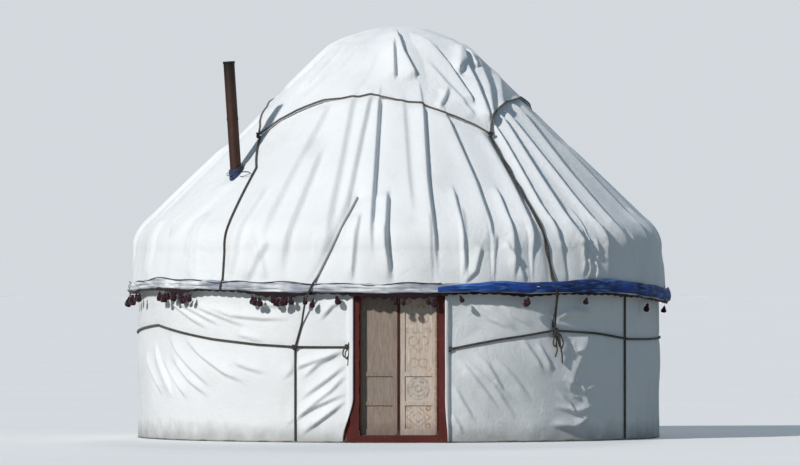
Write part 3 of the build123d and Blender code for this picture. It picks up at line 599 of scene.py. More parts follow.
def unseen_wall_creases():
    """Groups of slanting creases for the wall's sides that are out of sight."""
    draw = np.random.default_rng(21)
    creases = []
    azimuth, last = 100, 252
    while azimuth < last:
        way = draw.choice([-1, 1])
        high = draw.random() < 0.4
        spread = draw.uniform(3.0, 5.0)
        for number in range(draw.integers(3, 6)):
            at = azimuth + number * spread + (10 if way < 0 else 0)
            if high:
                places = [(at, draw.uniform(1.34, 1.42)),
                          (at + way * draw.uniform(9, 12), draw.uniform(1.12, 1.18))]
            else:
                run, low = draw.uniform(7, 12) + number, draw.uniform(0.06, 0.4)
                places = [(at, draw.uniform(0.9, 0.99)), (at + way * run * 0.6, (0.94 + low) / 2 - 0.03),
                          (at + way * run, low)]
            creases.append((places, draw.uniform(0.03, 0.06), draw.uniform(0.08, 0.13),
                            draw.uniform(0.036, 0.05)))
        azimuth += 5 * spread + 10
    return creases


def unseen_crown_creases():
    """Creases for the crown cover's sides that are out of sight."""
    draw = np.random.default_rng(41)
    creases = []
    at, last = 92.0, 296
    while at < last:
        at += draw.uniform(10, 24)
        start, end = draw.uniform(0.3, 0.8), draw.uniform(1.05, 1.3)
        lean = draw.uniform(-14, 14)
        creases.append(([(at, start), (at + lean * 0.4, (start + end) / 2), (at + lean, end)],
                        draw.uniform(0.02, 0.06), draw.uniform(0.07, 0.12), draw.uniform(0.026, 0.045)))
    return creases


def skirt_puffs(azimuth, height, pinches):
    """How far the skirt puffs out between its pinches."""
    starts, stands = np.radians([a for a, stand in pinches]), np.array([stand for a, stand in pinches])
    widths = np.diff(np.concatenate([starts, [starts[0] + FULL_TURN]]))
    turn = (azimuth - starts[0]) % FULL_TURN + starts[0]
    index = np.clip(np.searchsorted(starts, turn, side="right") - 1, 0, len(starts) - 1)
    share = np.clip((turn - starts[index]) / widths[index], 0, 1)
    puff = (4 * share * (1 - share)) ** 0.55 * stands[index]
    return puff * ease((PUFF_TOP - height) / 0.32) * (0.35 + 0.65 * ease((height - 1.52) / 0.28))


def roof_field(azimuth, height, radius):
    """How far the roof canvas stands off the frame's line, pressed down where the crown cover lies on it."""
    field = ripple(azimuth, 3, [(9, 0.006), (23, 0.0035)], height)
    draw = np.random.default_rng(5)
    pinches = list(PINCHES)
    at = PINCHES[-1][0]
    while at < 360 + PINCHES[0][0] - 12:
        at += draw.uniform(6, 12)
        pinches.append((at, draw.uniform(0.018, 0.036)))
    creases = ROOF_CREASES + unseen_roof_creases()
    for at, stand in pinches:
        lean = draw.uniform(-2.5, 2.5)
        places = [(at, 1.56), (at + lean * 0.4, 1.85), (at + lean, draw.uniform(2.05, 2.4))]
        creases.append((places, stand * 0.8, 0.055, draw.uniform(0.018, 0.03)))
    creases = [(places, tall * FOLD_HEIGHT, slow, steep * FOLD_STEEPNESS) for places, tall, slow, steep in creases]
    add_creases(field, azimuth, height, radius, creases, roof_radius_at, (0.28, 0.12))
    field += skirt_puffs(azimuth, height, pinches)
    field = press_under_ropes(field, azimuth, height, radius, TIES.values(), roof_radius_at, 0.055, 0.002)
    pipe_gap = distance_to_line(azimuth, height, radius, PIPE_ON_ROOF, roof_radius_at)
    field *= 1 - np.exp(-(pipe_gap / 0.17) ** 2)
    field += 0.012 * np.exp(-((pipe_gap - 0.09) / 0.03) ** 2)
    field *= 0.4 + 0.6 * ease((radius - crown_edge(azimuth) + 0.02) / 0.1)
    field *= ease((radius - ROOF_END_RADIUS) / 0.35)
    return np.clip(field, -0.012, 0.11)


def wall_field(azimuth, height):
    """How far the wall canvas stands off the frame's line."""
    radius = WALL_OUTSIDE
    field = ripple(azimuth, 8, [(7, 0.005), (19, 0.004)], height)
    creases = WALL_CREASES + unseen_wall_creases()
    add_creases(field, azimuth, height, radius, creases, wall_radius_at, (0.34, 0.34))
    belt = belt_height(np.degrees(azimuth) % 360)
    held = np.exp(-((height - belt) / 0.045) ** 2)
    field = field * (1 - 0.9 * held) - 0.003 * held
    field += 0.012 * np.exp(-((height - belt + 0.28) / 0.2) ** 2)
    ropes = [[(a, z) for a, z in line if z < 1.6] for line in TIES.values()]
    ropes = [line for line in ropes if len(line) > 1] + [WALL_TIE]
    field = press_under_ropes(field, azimuth, height, radius, ropes, wall_radius_at, 0.04, 0.003)
    field *= 1 - ease((height - 1.38) / 0.1)
    return np.clip(field, -0.009, 0.08)


# Materials

class Finish:
    """A material in the making, with a short call for each kind of node."""

    def __init__(self, name, roughness, **sockets):
        self.material = bpy.data.materials.new(name)
        self.material.use_nodes = True
        self.tree = self.material.node_tree
        self.shader = self.tree.nodes["Principled BSDF"]
        self.shader.inputs["Roughness"].default_value = roughness
        self.shader.inputs["Specular IOR Level"].default_value = 0.18
        for socket, value in sockets.items():
            self.shader.inputs[socket.replace("_", " ")].default_value = value
        self.place = self.tree.nodes.new("ShaderNodeTexCoord").outputs["Object"]

    def add(self, kind, inputs, **settings):
        node = self.tree.nodes.new("ShaderNode" + kind)
        for setting, value in settings.items():
            setattr(node, setting, value)
        for socket, value in inputs.items():
            if isinstance(value, bpy.types.NodeSocket):
                self.tree.links.new(value, node.inputs[socket])
            else:
                node.inputs[socket].default_value = value
        return node

    def noise(self, scale, detail, stretch=None, distortion=0.0):
        place = self.place
        if stretch:
            place = self.add("Mapping", {"Vector": place, "Scale": stretch}).outputs[0]
        return self.add("TexNoise", {"Vector": place, "Scale": scale, "Detail": detail,
                                     "Distortion": distortion}).outputs["Fac"]

    def weave(self, scale):
        return self.times(*(self.add("TexWave", {"Vector": self.place, "Scale": scale},
                                     bands_direction=way).outputs["Fac"] for way in "XZ"))

    def span(self, value, low, high, start=0.0, end=1.0):
        return self.add("MapRange", {0: value, 1: low, 2: high, 3: start, 4: end}).outputs[0]

    def math(self, operation, first, second=0.0):
        return self.add("Math", {0: first, 1: second}, operation=operation).outputs[0]

    def plus(self, first, second):
        return self.math("ADD", first, second)

    def times(self, first, second):
        return self.math("MULTIPLY", first, second)

    def apart(self, first, second):
        return self.math("ABSOLUTE", self.math("SUBTRACT", first, second))

    def mix(self, share, first, second):
        first, second = ((*value, 1.0) if isinstance(value, tuple) else value for value in (first, second))
        return self.add("Mix", {0: share, 6: first, 7: second}, data_type="RGBA").outputs[2]

    def over(self, base, colour, value, low, high, start=0.0, end=1.0):
        """A colour laid over the base as a value goes from low to high."""
        return self.mix(self.span(value, low, high, start, end), base, colour)

    def axis(self, name):
        return self.add("SeparateXYZ", {0: self.place}).outputs[name]

    def bump(self, height, distance, normal=None):
        inputs = {"Height": height, "Distance": distance, "Strength": 1.0}
        if normal is not None:
            inputs["Normal"] = normal
        return self.add("Bump", inputs).outputs[0]

    def set(self, **sockets):
        for socket, value in sockets.items():
            self.tree.links.new(value, self.shader.inputs[socket.replace("_", " ")])
        return self.material


def tone(name):
    """One of the colours in the settings."""
    return tuple(getattr(settings().colours, name))


def tinted(colour, factor):
    """A colour made lighter or darker."""
    return tuple(min(1.0, c * factor) for c in colour)


def canvas_finish(name, foot_dirt=False, hem_grey_with_fold_shade=None):
    """Woven canvas with faint grey washes, stains and, on the wall, splashes from the ground; on the hem, grey patches
    and painted shade in dark streaks along its folds.
    """
    f = Finish(name, 0.78, Sheen_Weight=0.08, Sheen_Roughness=0.6)
    colour, dirt = tone("canvas"), tone("dirt")
    if hem_grey_with_fold_shade:
        base = f.over(colour, hem_grey_with_fold_shade, f.noise(2.1, 3, stretch=(1, 1, 0.3)), 0.42, 0.6)
        # Painted shade: dark streaks stretched round the hem roll stand for the shade in its folds
        base = f.over(base, (0.1, 0.12, 0.16), f.noise(11, 4, stretch=(0.25, 0.25, 5)), 0.5, 0.66, 0, 0.8)
    else:
        base = f.over(colour, tinted(colour, 0.95), f.noise(1.3, 4), 0.35, 0.7)
    base = f.over(base, dirt, f.noise(3.5, 5, stretch=(1, 1, 0.25)), 0.56, 0.8, 0, 0.22)
    base = f.over(base, tinted(dirt, 0.7), f.noise(26, 3), 0.7, 0.8, 0, 0.22)
    if foot_dirt:
        edge = f.plus(f.axis("Z"), f.times(f.noise(7, 5), -0.22))
        base = f.over(base, tinted(dirt, 0.62), edge, -0.1, 0.1, 0.65, 0.0)
    normal = f.bump(f.noise(34, 5), 0.003, f.bump(f.weave(260), 0.0004))
    swirl = f.add("TexNoise", {"Vector": f.place, "Scale": 1.6, "Detail": 1.0}).outputs["Color"]
    bent = f.add("VectorMath", {0: f.place, 1: swirl}, operation="ADD").outputs[0]
    large, small = (f.add("TexVoronoi", {"Vector": bent, "Scale": scale}, feature="DISTANCE_TO_EDGE")
                    .outputs["Distance"] for scale in (1.7, 5.0))
    crumple = f.plus(f.span(large, 0, 0.25), f.times(f.span(small, 0, 0.2), 0.3))
    patches = f.span(f.noise(0.9, 2), 0.45, 0.65, 0.05, 1.0)
    normal = f.bump(f.times(crumple, patches), 0.0045, normal)
    normal = f.bump(f.noise(6, 4, distortion=0.5), 0.006, normal)
    return f.set(Base_Color=base, Normal=normal)


def cloth_finish(name, colour, second, scale=30, worn=None):
    """Plain woven cloth for bands and cuffs, with light streaks where one is given; on the blue band these are partly
    bleaching and partly painted highlights on its folds.
    """
    f = Finish(name, 0.72, Sheen_Weight=0.15, Sheen_Roughness=0.5)
    base = f.over(colour, second, f.noise(4, 4), 0.38, 0.64)
    base = f.over(base, tinted(colour, 0.55), f.noise(scale, 4), 0.45, 0.8, 0, 0.5)
    if worn:
        # On the blue band these light streaks are partly bleaching and partly painted highlights on its folds
        base = f.over(base, worn, f.noise(9, 4, stretch=(0.6, 0.6, 5)), 0.52, 0.74, 0, 0.75)
    normal = f.bump(f.noise(scale, 4), 0.003, f.bump(f.weave(300), 0.0004))
    return f.set(Base_Color=base, Normal=normal)


def felt_finish(name, colour):
    """Pressed wool: matted fibres and cloudy greys."""
    f = Finish(name, 0.95, Sheen_Weight=0.3, Sheen_Roughness=0.7)
    base = f.over(colour, tinted(colour, 0.7), f.noise(2.2, 5), 0.3, 0.7)
    base = f.over(base, tinted(colour, 0.5), f.noise(60, 5, distortion=2), 0.4, 0.75, 0, 0.6)
    normal = f.bump(f.noise(90, 6, distortion=2), 0.004, f.bump(f.noise(9, 4), 0.012))
    return f.set(Base_Color=base, Normal=normal)


def rope_finish(name, colour, pale_above=None):
    """Twisted hair rope: light and dark yarns, fuzz in the bump, and painted light that makes it pale above a height,
    where it lies lit on the roof.
    """
    f = Finish(name, 0.9, Sheen_Weight=0.25, Sheen_Roughness=0.5)
    base = f.over(colour, tinted(colour, 2.1), f.noise(55, 4), 0.35, 0.7)
    base = f.over(base, tinted(colour, 0.55), f.noise(4, 2), 0.4, 0.7, 0, 0.6)
    if pale_above:
        # Painted light: the rope turns pale grey above this height, where it lies lit on the roof
        base = f.over(base, (0.4, 0.4, 0.4), f.axis("Z"), pale_above, pale_above + 0.08, 0, 0.9)
    return f.set(Base_Color=base, Normal=f.bump(f.noise(160, 5), 0.003))


def wood_finish(name, colour, dark, paint, wear, grain=(9, 9, 0.7)):
    """Wood with long grain, under a coat of paint that wears off in patches."""
    f = Finish(name, 0.6)
    rings = f.noise(14, 6, stretch=grain, distortion=0.6)
    fine = f.noise(60, 4, stretch=grain)
    base = f.over(colour, dark, rings, 0.35, 0.68)
    base = f.over(base, tinted(dark, 0.6), fine, 0.55, 0.8, 0, 0.7)
    height = f.plus(f.times(rings, 0.6), f.times(fine, 0.5))
    coat = f.over(paint, tinted(paint, 0.6), f.noise(5, 4), 0.3, 0.75)
    patches = f.plus(f.times(f.noise(16, 6, stretch=grain), 0.6), f.times(f.noise(45, 5), 0.4))
    worn = f.span(patches, wear, wear + 0.05)
    height = f.math("SUBTRACT", height, f.times(worn, 0.5))
    return f.set(Base_Color=f.mix(worn, coat, base), Normal=f.bump(height, 0.003))


def dress(nodes, material):
    """Gives frame nodes a material in the place of their plain one."""
    for name in nodes:
        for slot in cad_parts[name].material_slots:
            slot.material = material


def settings():
    return bpy.context.scene.felt_house


# Repeats by Geometry Nodes

def starting(prefix):
    """Frame nodes whose names start with a prefix."""
    return [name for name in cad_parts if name.startswith(prefix)]


def repeat_tree(name):
    """A node tree that sets a small piece on points, turned and stretched by their attributes."""
    tree = bpy.data.node_groups.new(name, "GeometryNodeTree")
    face = tree.interface
    face.new_socket("Geometry", in_out="INPUT", socket_type="NodeSocketGeometry")
    sockets = {key: face.new_socket(key, in_out="INPUT", socket_type="NodeSocket" + kind).identifier
               for key, kind in (("Piece", "Object"), ("Size", "Float"), ("Finish", "Material"))}
    face.new_socket("Geometry", in_out="OUTPUT", socket_type="NodeSocketGeometry")
    node = tree.nodes.new
    link = tree.links.new
    given, result = node("NodeGroupInput"), node("NodeGroupOutput")
    info = node("GeometryNodeObjectInfo")
    link(given.outputs["Piece"], info.inputs["Object"])
    named = []
    for attribute in ("turn", "stretch"):
        read = node("GeometryNodeInputNamedAttribute")
        read.data_type = "FLOAT_VECTOR"
        read.inputs["Name"].default_value = attribute
        named.append(read.outputs["Attribute"])
    scale = node("ShaderNodeVectorMath")
    scale.operation = "SCALE"
    link(named[1], scale.inputs[0])
    link(given.outputs["Size"], scale.inputs["Scale"])
    copies = node("GeometryNodeInstanceOnPoints")
    link(given.outputs["Geometry"], copies.inputs["Points"])
    link(info.outputs["Geometry"], copies.inputs["Instance"])
    link(named[0], copies.inputs["Rotation"])
    link(scale.outputs[0], copies.inputs["Scale"])
    real = node("GeometryNodeRealizeInstances")
    link(copies.outputs[0], real.inputs[0])
    paint = node("GeometryNodeSetMaterial")
    link(real.outputs[0], paint.inputs[0])
    link(given.outputs["Finish"], paint.inputs["Material"])
    link(paint.outputs[0], result.inputs[0])
    return tree, sockets


def repeated(name, piece, spots, size, material):
    """One plain mesh of a small piece at many spots, each a place, a turn and a stretch."""
    places, turns, stretches = zip(*spots)
    holder = plain_mesh(name + "_spots", places, [])
    for attribute, vectors in (("turn", turns), ("stretch", stretches)):
        values = holder.data.attributes.new(attribute, "FLOAT_VECTOR", "POINT")
        values.data.foreach_set("vector", np.array(vectors, np.float32).ravel())
    tree, sockets = repeat_tree(name + "_tree")
    modifier = holder.modifiers.new(name, "NODES")
    modifier.node_group = tree
    for key, value in (("Piece", piece), ("Size", size), ("Finish", material)):
        modifier[sockets[key]] = value
    holder.update_tag()
    bpy.context.view_layer.update()
    graph = bpy.context.evaluated_depsgraph_get()
    mesh = bpy.data.meshes.new_from_object(holder.evaluated_get(graph))
    holder.modifiers.remove(modifier)
    for helper in (holder, piece):
        bpy.data.objects.remove(helper)
    mesh.name = name
    if not len(mesh.polygons):
        raise RuntimeError(name + " came out empty")
    return finish_piece(in_scene(name, mesh), material)


# Pieces

def facing(azimuth, radius, height, turn=0):
    """A spot for a repeated piece, which is turned with its azimuth."""
    return spot(azimuth, radius, height), (0.0, 0.0, math.radians(azimuth + turn)), (1, 1, 1)


def make_roof_canvas():
    sizes = settings().covers
    rows, columns = sizes.roof_rows * 2 + 1, sizes.roof_columns * 2
    line = roof_line(COVER_OUTSIDE)
    marks = np.interp(np.linspace(0, 1, rows), [0, 0.42, 1], [0, 0.95, line[0][-1]])
    radius, height, nr, nz = (np.repeat(each[:, None], columns, 1) for each in sampled(line, marks))
    turn = np.repeat(columns_dense_in_front(columns)[None, :], rows, 0)
    field = roof_field(turn, height, radius) - 0.002
    hang = eave_lift(turn) * ease((HANG_TOP - height) / 0.26)
    piece = grid_mesh("roof_canvas", *(on_bearing(turn, radius + nr * stand, height + nz * stand + hang)
                                       for stand in (field, worn_in(field, sizes.canvas_thickness, True))), True)
    finish_piece(piece, canvas_finish("roof canvas"), replaces=starting("roof_cover_"))


def make_wall_canvas():
    sizes = settings().covers
    rows, columns = sizes.wall_rows * 2 + 1, sizes.wall_columns * 2 + 1
    tall = np.repeat(np.linspace(0.002, WALL_TOP, rows)[:, None], columns, 1)
    start = math.radians(WALL_EDGES[0]) + ease((0.45 - tall) / 0.45) * math.radians(0.6)
    end = math.radians(WALL_EDGES[1]) - ease((0.46 - tall) / 0.44) * math.radians(2.3) + FULL_TURN
    even = columns_dense_in_front(columns, (10.5, 350.0))
    turn = start + (end - start) * ((even - even[0]) / (even[-1] - even[0]))
    field = wall_field(turn, tall)
    foot = tall + np.clip(ripple(turn, 31, [(40, 0.006), (90, 0.004)]), 0, 0.006) * ease((0.25 - tall) / 0.25)
    over_post = ease((POSTS_HALF - np.abs(np.sin(turn)) * WALL_OUTSIDE) / 0.03) * (np.cos(turn) > 0)
    field = np.maximum(field, 0.0) * over_post * 0.5 + field * (1 - over_post) + POST_STAND * over_post
    to_hem = np.minimum(turn - start, end - turn) * WALL_OUTSIDE
    field += 0.004 * np.exp(-(to_hem / 0.018) ** 4)
    piece = grid_mesh("wall_canvas", *(on_bearing(turn, WALL_OUTSIDE - 0.001 + stand, foot)
                                       for stand in (field, worn_in(field, sizes.canvas_thickness, False))), False)
    finish_piece(piece, canvas_finish("wall canvas", foot_dirt=True), replaces=starting("wall_cover_"))


def edge_stand(turn, displacement):
    """The crown cover's lift along its edge, in the order of a turn from 0 to 360 degrees."""
    turn = turn % (2 * math.pi)
    order = np.argsort(turn)
    wrapped = np.concatenate([turn[order], [turn[order][0] + 2 * math.pi]])
    return wrapped, np.concatenate([displacement[order], [displacement[order][0]]])


def crown_edge(azimuth):
    """Plan radius of the crown cover's edge at azimuths in radians."""
    share = (np.degrees(azimuth) - CROWN_FIRST_CORNER) % 90 / 90
    marks = [0.0, 0.05, 0.12, 0.25, 0.5, 0.75, 0.88, 0.95, 1.0]
    radii = [1.705, 1.54, 1.45, 1.345, 1.285, 1.385, 1.52, 1.61, 1.705]
    return np.interp(share, marks, radii)


def crown_height(radius):
    """Height of the crown cover over its frame at a plan radius, its line softened."""
    r, z = np.array(CROWN_LINE).T
    fine = np.linspace(0, 1.9, 381)
    tall = np.interp(fine, r, z, right=z[-1])
    tall[fine > r[-1]] = z[-1] - (fine[fine > r[-1]] - r[-1]) * math.tan(ROOF_SLOPE)
    mirror = np.concatenate([tall[1:13][::-1], tall, tall[-1:].repeat(12)])
    kernel = np.hanning(11)
    soft = np.convolve(mirror, kernel / kernel.sum(), "same")[12:12 + len(fine)]
    return np.interp(radius, fine, np.where(fine > 1.2, tall, soft))


def crown_field(x, y, radius, azimuth, edge):
    """How far the crown canvas stands off its line, over its plan."""
    field = ripple(azimuth, 14, [(5, 0.005), (11, 0.004)]) * ease(radius / 0.5)
    for places, tall, slow, steep in CROWN_CREASES + unseen_crown_creases():
        line = [spot(a, r, 0)[:2] for a, r in places[::-1]]
        field += tall * FOLD_HEIGHT * crease(x, y, line, slow, steep * FOLD_STEEPNESS, (0.06, 0.4))
    corners = np.cos(np.radians(4 * (np.degrees(azimuth) - CROWN_FIRST_CORNER)))
    field += 0.01 * np.clip(corners, 0, 1) * ease((radius / edge - 0.4) / 0.5)
    field += 0.007 * np.exp(-((1 - radius / edge) * edge / 0.02) ** 4)
    return np.clip(field, -0.001, 0.095)


def make_crown_canvas():
    sizes = settings().covers
    rows, columns = sizes.crown_rows * 2 + 1, sizes.crown_columns * 2
    turn, share = np.meshgrid(columns_dense_in_front(columns), np.linspace(1, 0.02, rows))
    edge = crown_edge(turn)
    radius = share * edge
    over_roof = roof_field(turn, crown_height(radius) - 0.016, np.maximum(radius, ROOF_END_RADIUS))
    own = crown_field(radius * np.sin(turn), -radius * np.cos(turn), radius, turn, edge)
    field = np.maximum(own + 0.004, over_roof - 0.004)
    inner = worn_in(field, sizes.canvas_thickness, True)
    step = 0.01
    slope = (crown_height(radius + step) - crown_height(np.maximum(radius - step, 0))) / (2 * step)
    size = np.hypot(1, slope)
    top = float(crown_height(0.0))
    apex = [(0, 0, top + float(field[-1].mean())), (0, 0, top + float(inner[-1].min()))]
    skins = (on_bearing(turn, radius - slope / size * stand, crown_height(radius) + 1 / size * stand)
             for stand in (field, inner))
    piece = grid_mesh("crown_canvas", *skins, True, apex)
    finish_piece(piece, canvas_finish("crown canvas"), replaces=["crown_cover"])
    make_edge_rope(turn[0], field[0])


def make_edge_rope(turn, stand):
    """The rope in the crown cover's edge, which follows the edge's own lift."""
    around = np.linspace(0, FULL_TURN, 720, endpoint=False)
    reach = crown_edge(around) - 0.004
    lift = np.interp(around, *edge_stand(turn, stand)) + 0.004
    line = on_bearing(around, reach + lift * math.sin(ROOF_SLOPE), crown_height(reach) + lift * math.cos(ROOF_SLOPE))
    cord = plain_mesh("crown_edge_rope", *tube(line, settings().ropes.edge_diameter / 2, 10, 3, 0.07, closed=True))
    finish_piece(cord, rope_finish("edge rope", tinted(tone("rope"), 1.7)))


def make_felt():
    felt = felt_finish("felt", tone("felt"))
    gap = math.radians(12.2)
    azimuth, tall = np.meshgrid(np.linspace(gap, FULL_TURN - gap, 193), np.linspace(0.002, 1.545, 13))
    wave = 0.0015 * np.sin(azimuth * POLES)
    wall = grid_mesh("wall_felt", *(on_bearing(azimuth, reach + wave, tall) for reach in WALL_FELT_SIDES), False)
    finish_piece(wall, felt)
    line = roof_line(COVER_INSIDE + 0.009)
    azimuth = np.repeat(np.linspace(0, FULL_TURN, 192, endpoint=False)[None, :], 27, 0)
    r, z, nr, nz = (np.repeat(each[:, None], 192, 1) for each in sampled(line, np.linspace(0, line[0][-1], 27)))
    roof = grid_mesh("roof_felt", *(on_bearing(azimuth, r - depth * nr, z - depth * nz)
                                    for depth in (0, ROOF_FELT_THICKNESS)), True)
    finish_piece(roof, felt)


def make_eave_roll():
    """The rolled hem, wound unevenly about its section."""
    turn = np.linspace(0, FULL_TURN, 960, endpoint=False)
    uneven, lift = hem_swell(turn), eave_lift(turn)
    rings = []
    for number, (out, up) in enumerate(ROLL_SECTION):
        wound = 0.007 * np.abs(np.sin(31 * turn + 0.55 * number)) + 0.005 * np.sin(23 * turn - 0.7 * number)
        wound = wound + 0.003 * np.sin(97 * turn + 1.3 * number) - 0.004
        swell = uneven * 0.6 + wound if out > 0.01 else 0.0
        rings.append(on_bearing(turn, HEM_OUTSIDE - 0.027 + out + swell,
                                EAVE_HEIGHT + 1.25 * up + lift + 0.5 * wound))
    points = np.array(rings)
    ids = np.arange(points[..., 0].size).reshape(points.shape[:2])
    roll = plain_mesh("eave_roll", points.reshape(-1, 3), quads(np.pad(ids, (0, 1), "wrap")).tolist())
    # The hem takes its grey canvas tone and painted shade streaks along its folds
    finish_piece(roll, canvas_finish("hem canvas", hem_grey_with_fold_shade=tone("hem")), replaces=["eave_hem"])


def make_hem_cord():
    """The dark cord that wanders along the top of the hem at the left front; it also stands for the painted shade line
    along the roll's top.
    """
    turn = np.radians(np.arange(-86, 9, 0.3))
    wander = 0.012 * np.sin(turn * 11) + 0.008 * np.sin(turn * 29 + 1)
    line = on_bearing(turn, HEM_OUTSIDE - 0.006 - np.abs(wander) * 0.3,
                      EAVE_HEIGHT + 0.074 + wander + eave_lift(turn))
    cord = plain_mesh("hem_cord", *tube(line, 0.0055, strands=2, lay=0.03))
    # Dark blue cord, partly painted shade: it gives the dark line where the roll's top lies in shade
    finish_piece(cord, cloth_finish("hem cord", (0.035, 0.055, 0.11), (0.02, 0.022, 0.03)))


def make_eave_band():
    """The blue band over the hem, from the door's right side round to the left rear."""
    turn = np.linspace(math.radians(8), math.radians(262), 601)
    rise = np.interp(np.degrees(turn), *zip(*BAND_RISE)) + ripple(turn, 73, [(17, 0.008), (37, 0.004)])
    up = np.linspace(0, 1, 13)[:, None]
    azimuth = np.repeat(turn[None, :], 13, 0)
    foot = EAVE_HEIGHT - 0.01 + eave_lift(azimuth)
    tall = foot + up * rise[None, :]
    lean = np.maximum(tall - foot - 0.06, 0) * 0.2
    fold = ripple(azimuth, 71, [(28, 0.006), (70, 0.005)])
    out = HEM_OUTSIDE + 0.006 + hem_swell(azimuth) * 0.5 - lean + fold * up
    out += 0.012 * np.sin(up * math.pi) - 0.006 * np.exp(-((up - 0.52 + 8 * fold) / 0.1) ** 2)
    band = grid_mesh("eave_band", *(on_bearing(azimuth, out - depth, tall) for depth in (0, BAND_THICKNESS)), False)
    blue = tone("band")
    # The very dark second blue is partly the band's own tone and partly painted shade in its folds; the light blue
    # streaks are partly painted highlights
    finish_piece(band, cloth_finish("blue band", blue, tinted(blue, 0.25), worn=(0.12, 0.32, 0.78)))


def make_scalloped_band():
    """The dark band under the hem, deeper over the door and at two places to its left; its near-black tone is partly
    the band's own and partly painted shade under the eave.
    """
    up = np.linspace(0, 1, 7)[:, None]
    azimuth = np.repeat(np.linspace(0, FULL_TURN, 1440, endpoint=False)[None, :], 7, 0)
    scallop = np.abs(np.sin(azimuth * 85)) ** 0.6
    deep = bell(azimuth, 0, 0.2, 4) + 0.9 * bell(azimuth, -26, 0.07, 4) + 0.8 * bell(azimuth, -54, 0.06, 4)
    top = EAVE_HEIGHT - 0.008 + eave_lift(azimuth)
    drop = 0.022 + 0.012 * deep + ripple(azimuth, 82, [(11, 0.006), (27, 0.004)])
    bottom = top - np.clip(drop, 0.01, 0.06) - (0.014 + 0.018 * deep) * scallop
    tall = bottom + (top - bottom) * up
    out = HEM_OUTSIDE - 0.0135 + ripple(azimuth, 81, [(36, 0.006)]) * (1 - up) - 0.004 * (1 - up)
    strip = grid_mesh("scalloped_band", *(on_bearing(azimuth, out - depth, tall) for depth in (0, BAND_THICKNESS)),
                      True)
    # The band's near-black tone is partly painted shade under the eave
    finish_piece(strip, cloth_finish("tassel band", tone("tassel_band"), tone("tassel"), 60),
                 replaces=["tassel_band"])


def make_tassels():
    """Tassels at their places in view and a sparse row of them behind."""
    tassel = turned_form("tassel_form", TASSEL_PROFILE, 12, fray=0.1)
    draw = np.random.default_rng(91)
    spots = []
    for azimuth in TASSELS + [a for a in np.arange(80, 280, 1.0) if draw.random() < 0.1]:
        height = TASSEL_HEIGHT + eave_lift(math.radians(azimuth)) + draw.uniform(-0.03, 0.008)
        size = draw.uniform(0.95, 1.25)
        spots.append((spot(azimuth, HEM_OUTSIDE - 0.014, height),
                      (draw.uniform(-0.3, 0.3), draw.uniform(-0.3, 0.3), draw.uniform(0, 6)),
                      (size * 1.25, size * 1.25, size * draw.uniform(0.85, 1.05))))
    wool = rope_finish("tassel wool", tone("tassel"))
    repeated("tassels", tassel, spots, settings().trim.tassel_size, wool)


def make_eave():
    for make in (make_eave_roll, make_hem_cord, make_eave_band, make_scalloped_band, make_tassels):
        make()


def tie_radius(height):
    """Radius of the line that a tie follows, from the ground over the eave to the roof."""
    if height < TIE_LINE[-1][0]:
        return float(np.interp(height, *zip(*TIE_LINE)))
    return roof_radius_at(height)


def tie_path(line, radius_at, lift):
    """A tie's path over the covers."""
    corners = []
    for (a0, z0), (a1, z1) in zip(line, line[1:]):
        for share in np.linspace(0, 1, max(2, int(abs(z1 - z0) / 0.02)), endpoint=False):
            corners.append((a0 + (a1 - a0) * share, z0 + (z1 - z0) * share))
    corners.append(line[-1])
    points = []
    reach = 0.01
    for azimuth, height in corners:
        dr = radius_at(height + reach) - radius_at(height - reach)
        size = math.hypot(dr, 2 * reach)
        points.append(spot(azimuth, radius_at(height) + lift * 2 * reach / size, height - lift * dr / size))
    return smooth_path(points, 0.012)


def doubled(path, radius, lay):
    """Two ropes laid side by side and loosely turned about each other."""
    along = unit(np.gradient(path, axis=0))
    across = unit(np.cross(along, unit(path * np.array([1, 1, 0.0]))))
    distance = run_of(path)
    swing = across * (radius * (1.05 + 0.45 * np.sin(distance * 17)))[:, None]
    lift = np.cross(across, along) * (radius * 0.35 * np.sin(distance * 23))[:, None]
    return joined([tube(path + swing + lift, radius, 10, 3, lay),
                   tube(path - swing - lift, radius, 10, 3, lay * 0.9)])


def turned_about(points, azimuth, centre):
    """Points made in front of the door, turned to an azimuth and set about a centre."""
    return points @ np.array(Matrix.Rotation(math.radians(azimuth), 3, "Z")).T + np.asarray(centre)


def knot(azimuth, radius, height, size, thickness):
    """A closed overhand knot, flattened against the cloth behind it."""
    t = np.linspace(0, FULL_TURN, 72, endpoint=False)
    x, z = np.sin(t) + 2 * np.sin(2 * t), np.cos(t) - 2 * np.cos(2 * t)
    y = -np.sin(3 * t) * 0.9
    local = np.stack([x * size / 3, y * size / 3 * 0.8, z * size / 3], -1)
    path = turned_about(local, azimuth, spot(azimuth, radius, height))
    return tube(path, thickness, strands=3, closed=True)


def hanging_ends(name, azimuth, start, ends, thickness, rope):
    """Short ends and loops that hang from a knot: sideways, outward and downward steps from it."""
    parts = [tube(smooth_path(turned_about(np.array(steps) * (1, -1, -1), azimuth, start), 0.008), thickness, strands=3)
             for steps in ends]
    finish_piece(plain_mesh(name, *joined(parts)), rope)


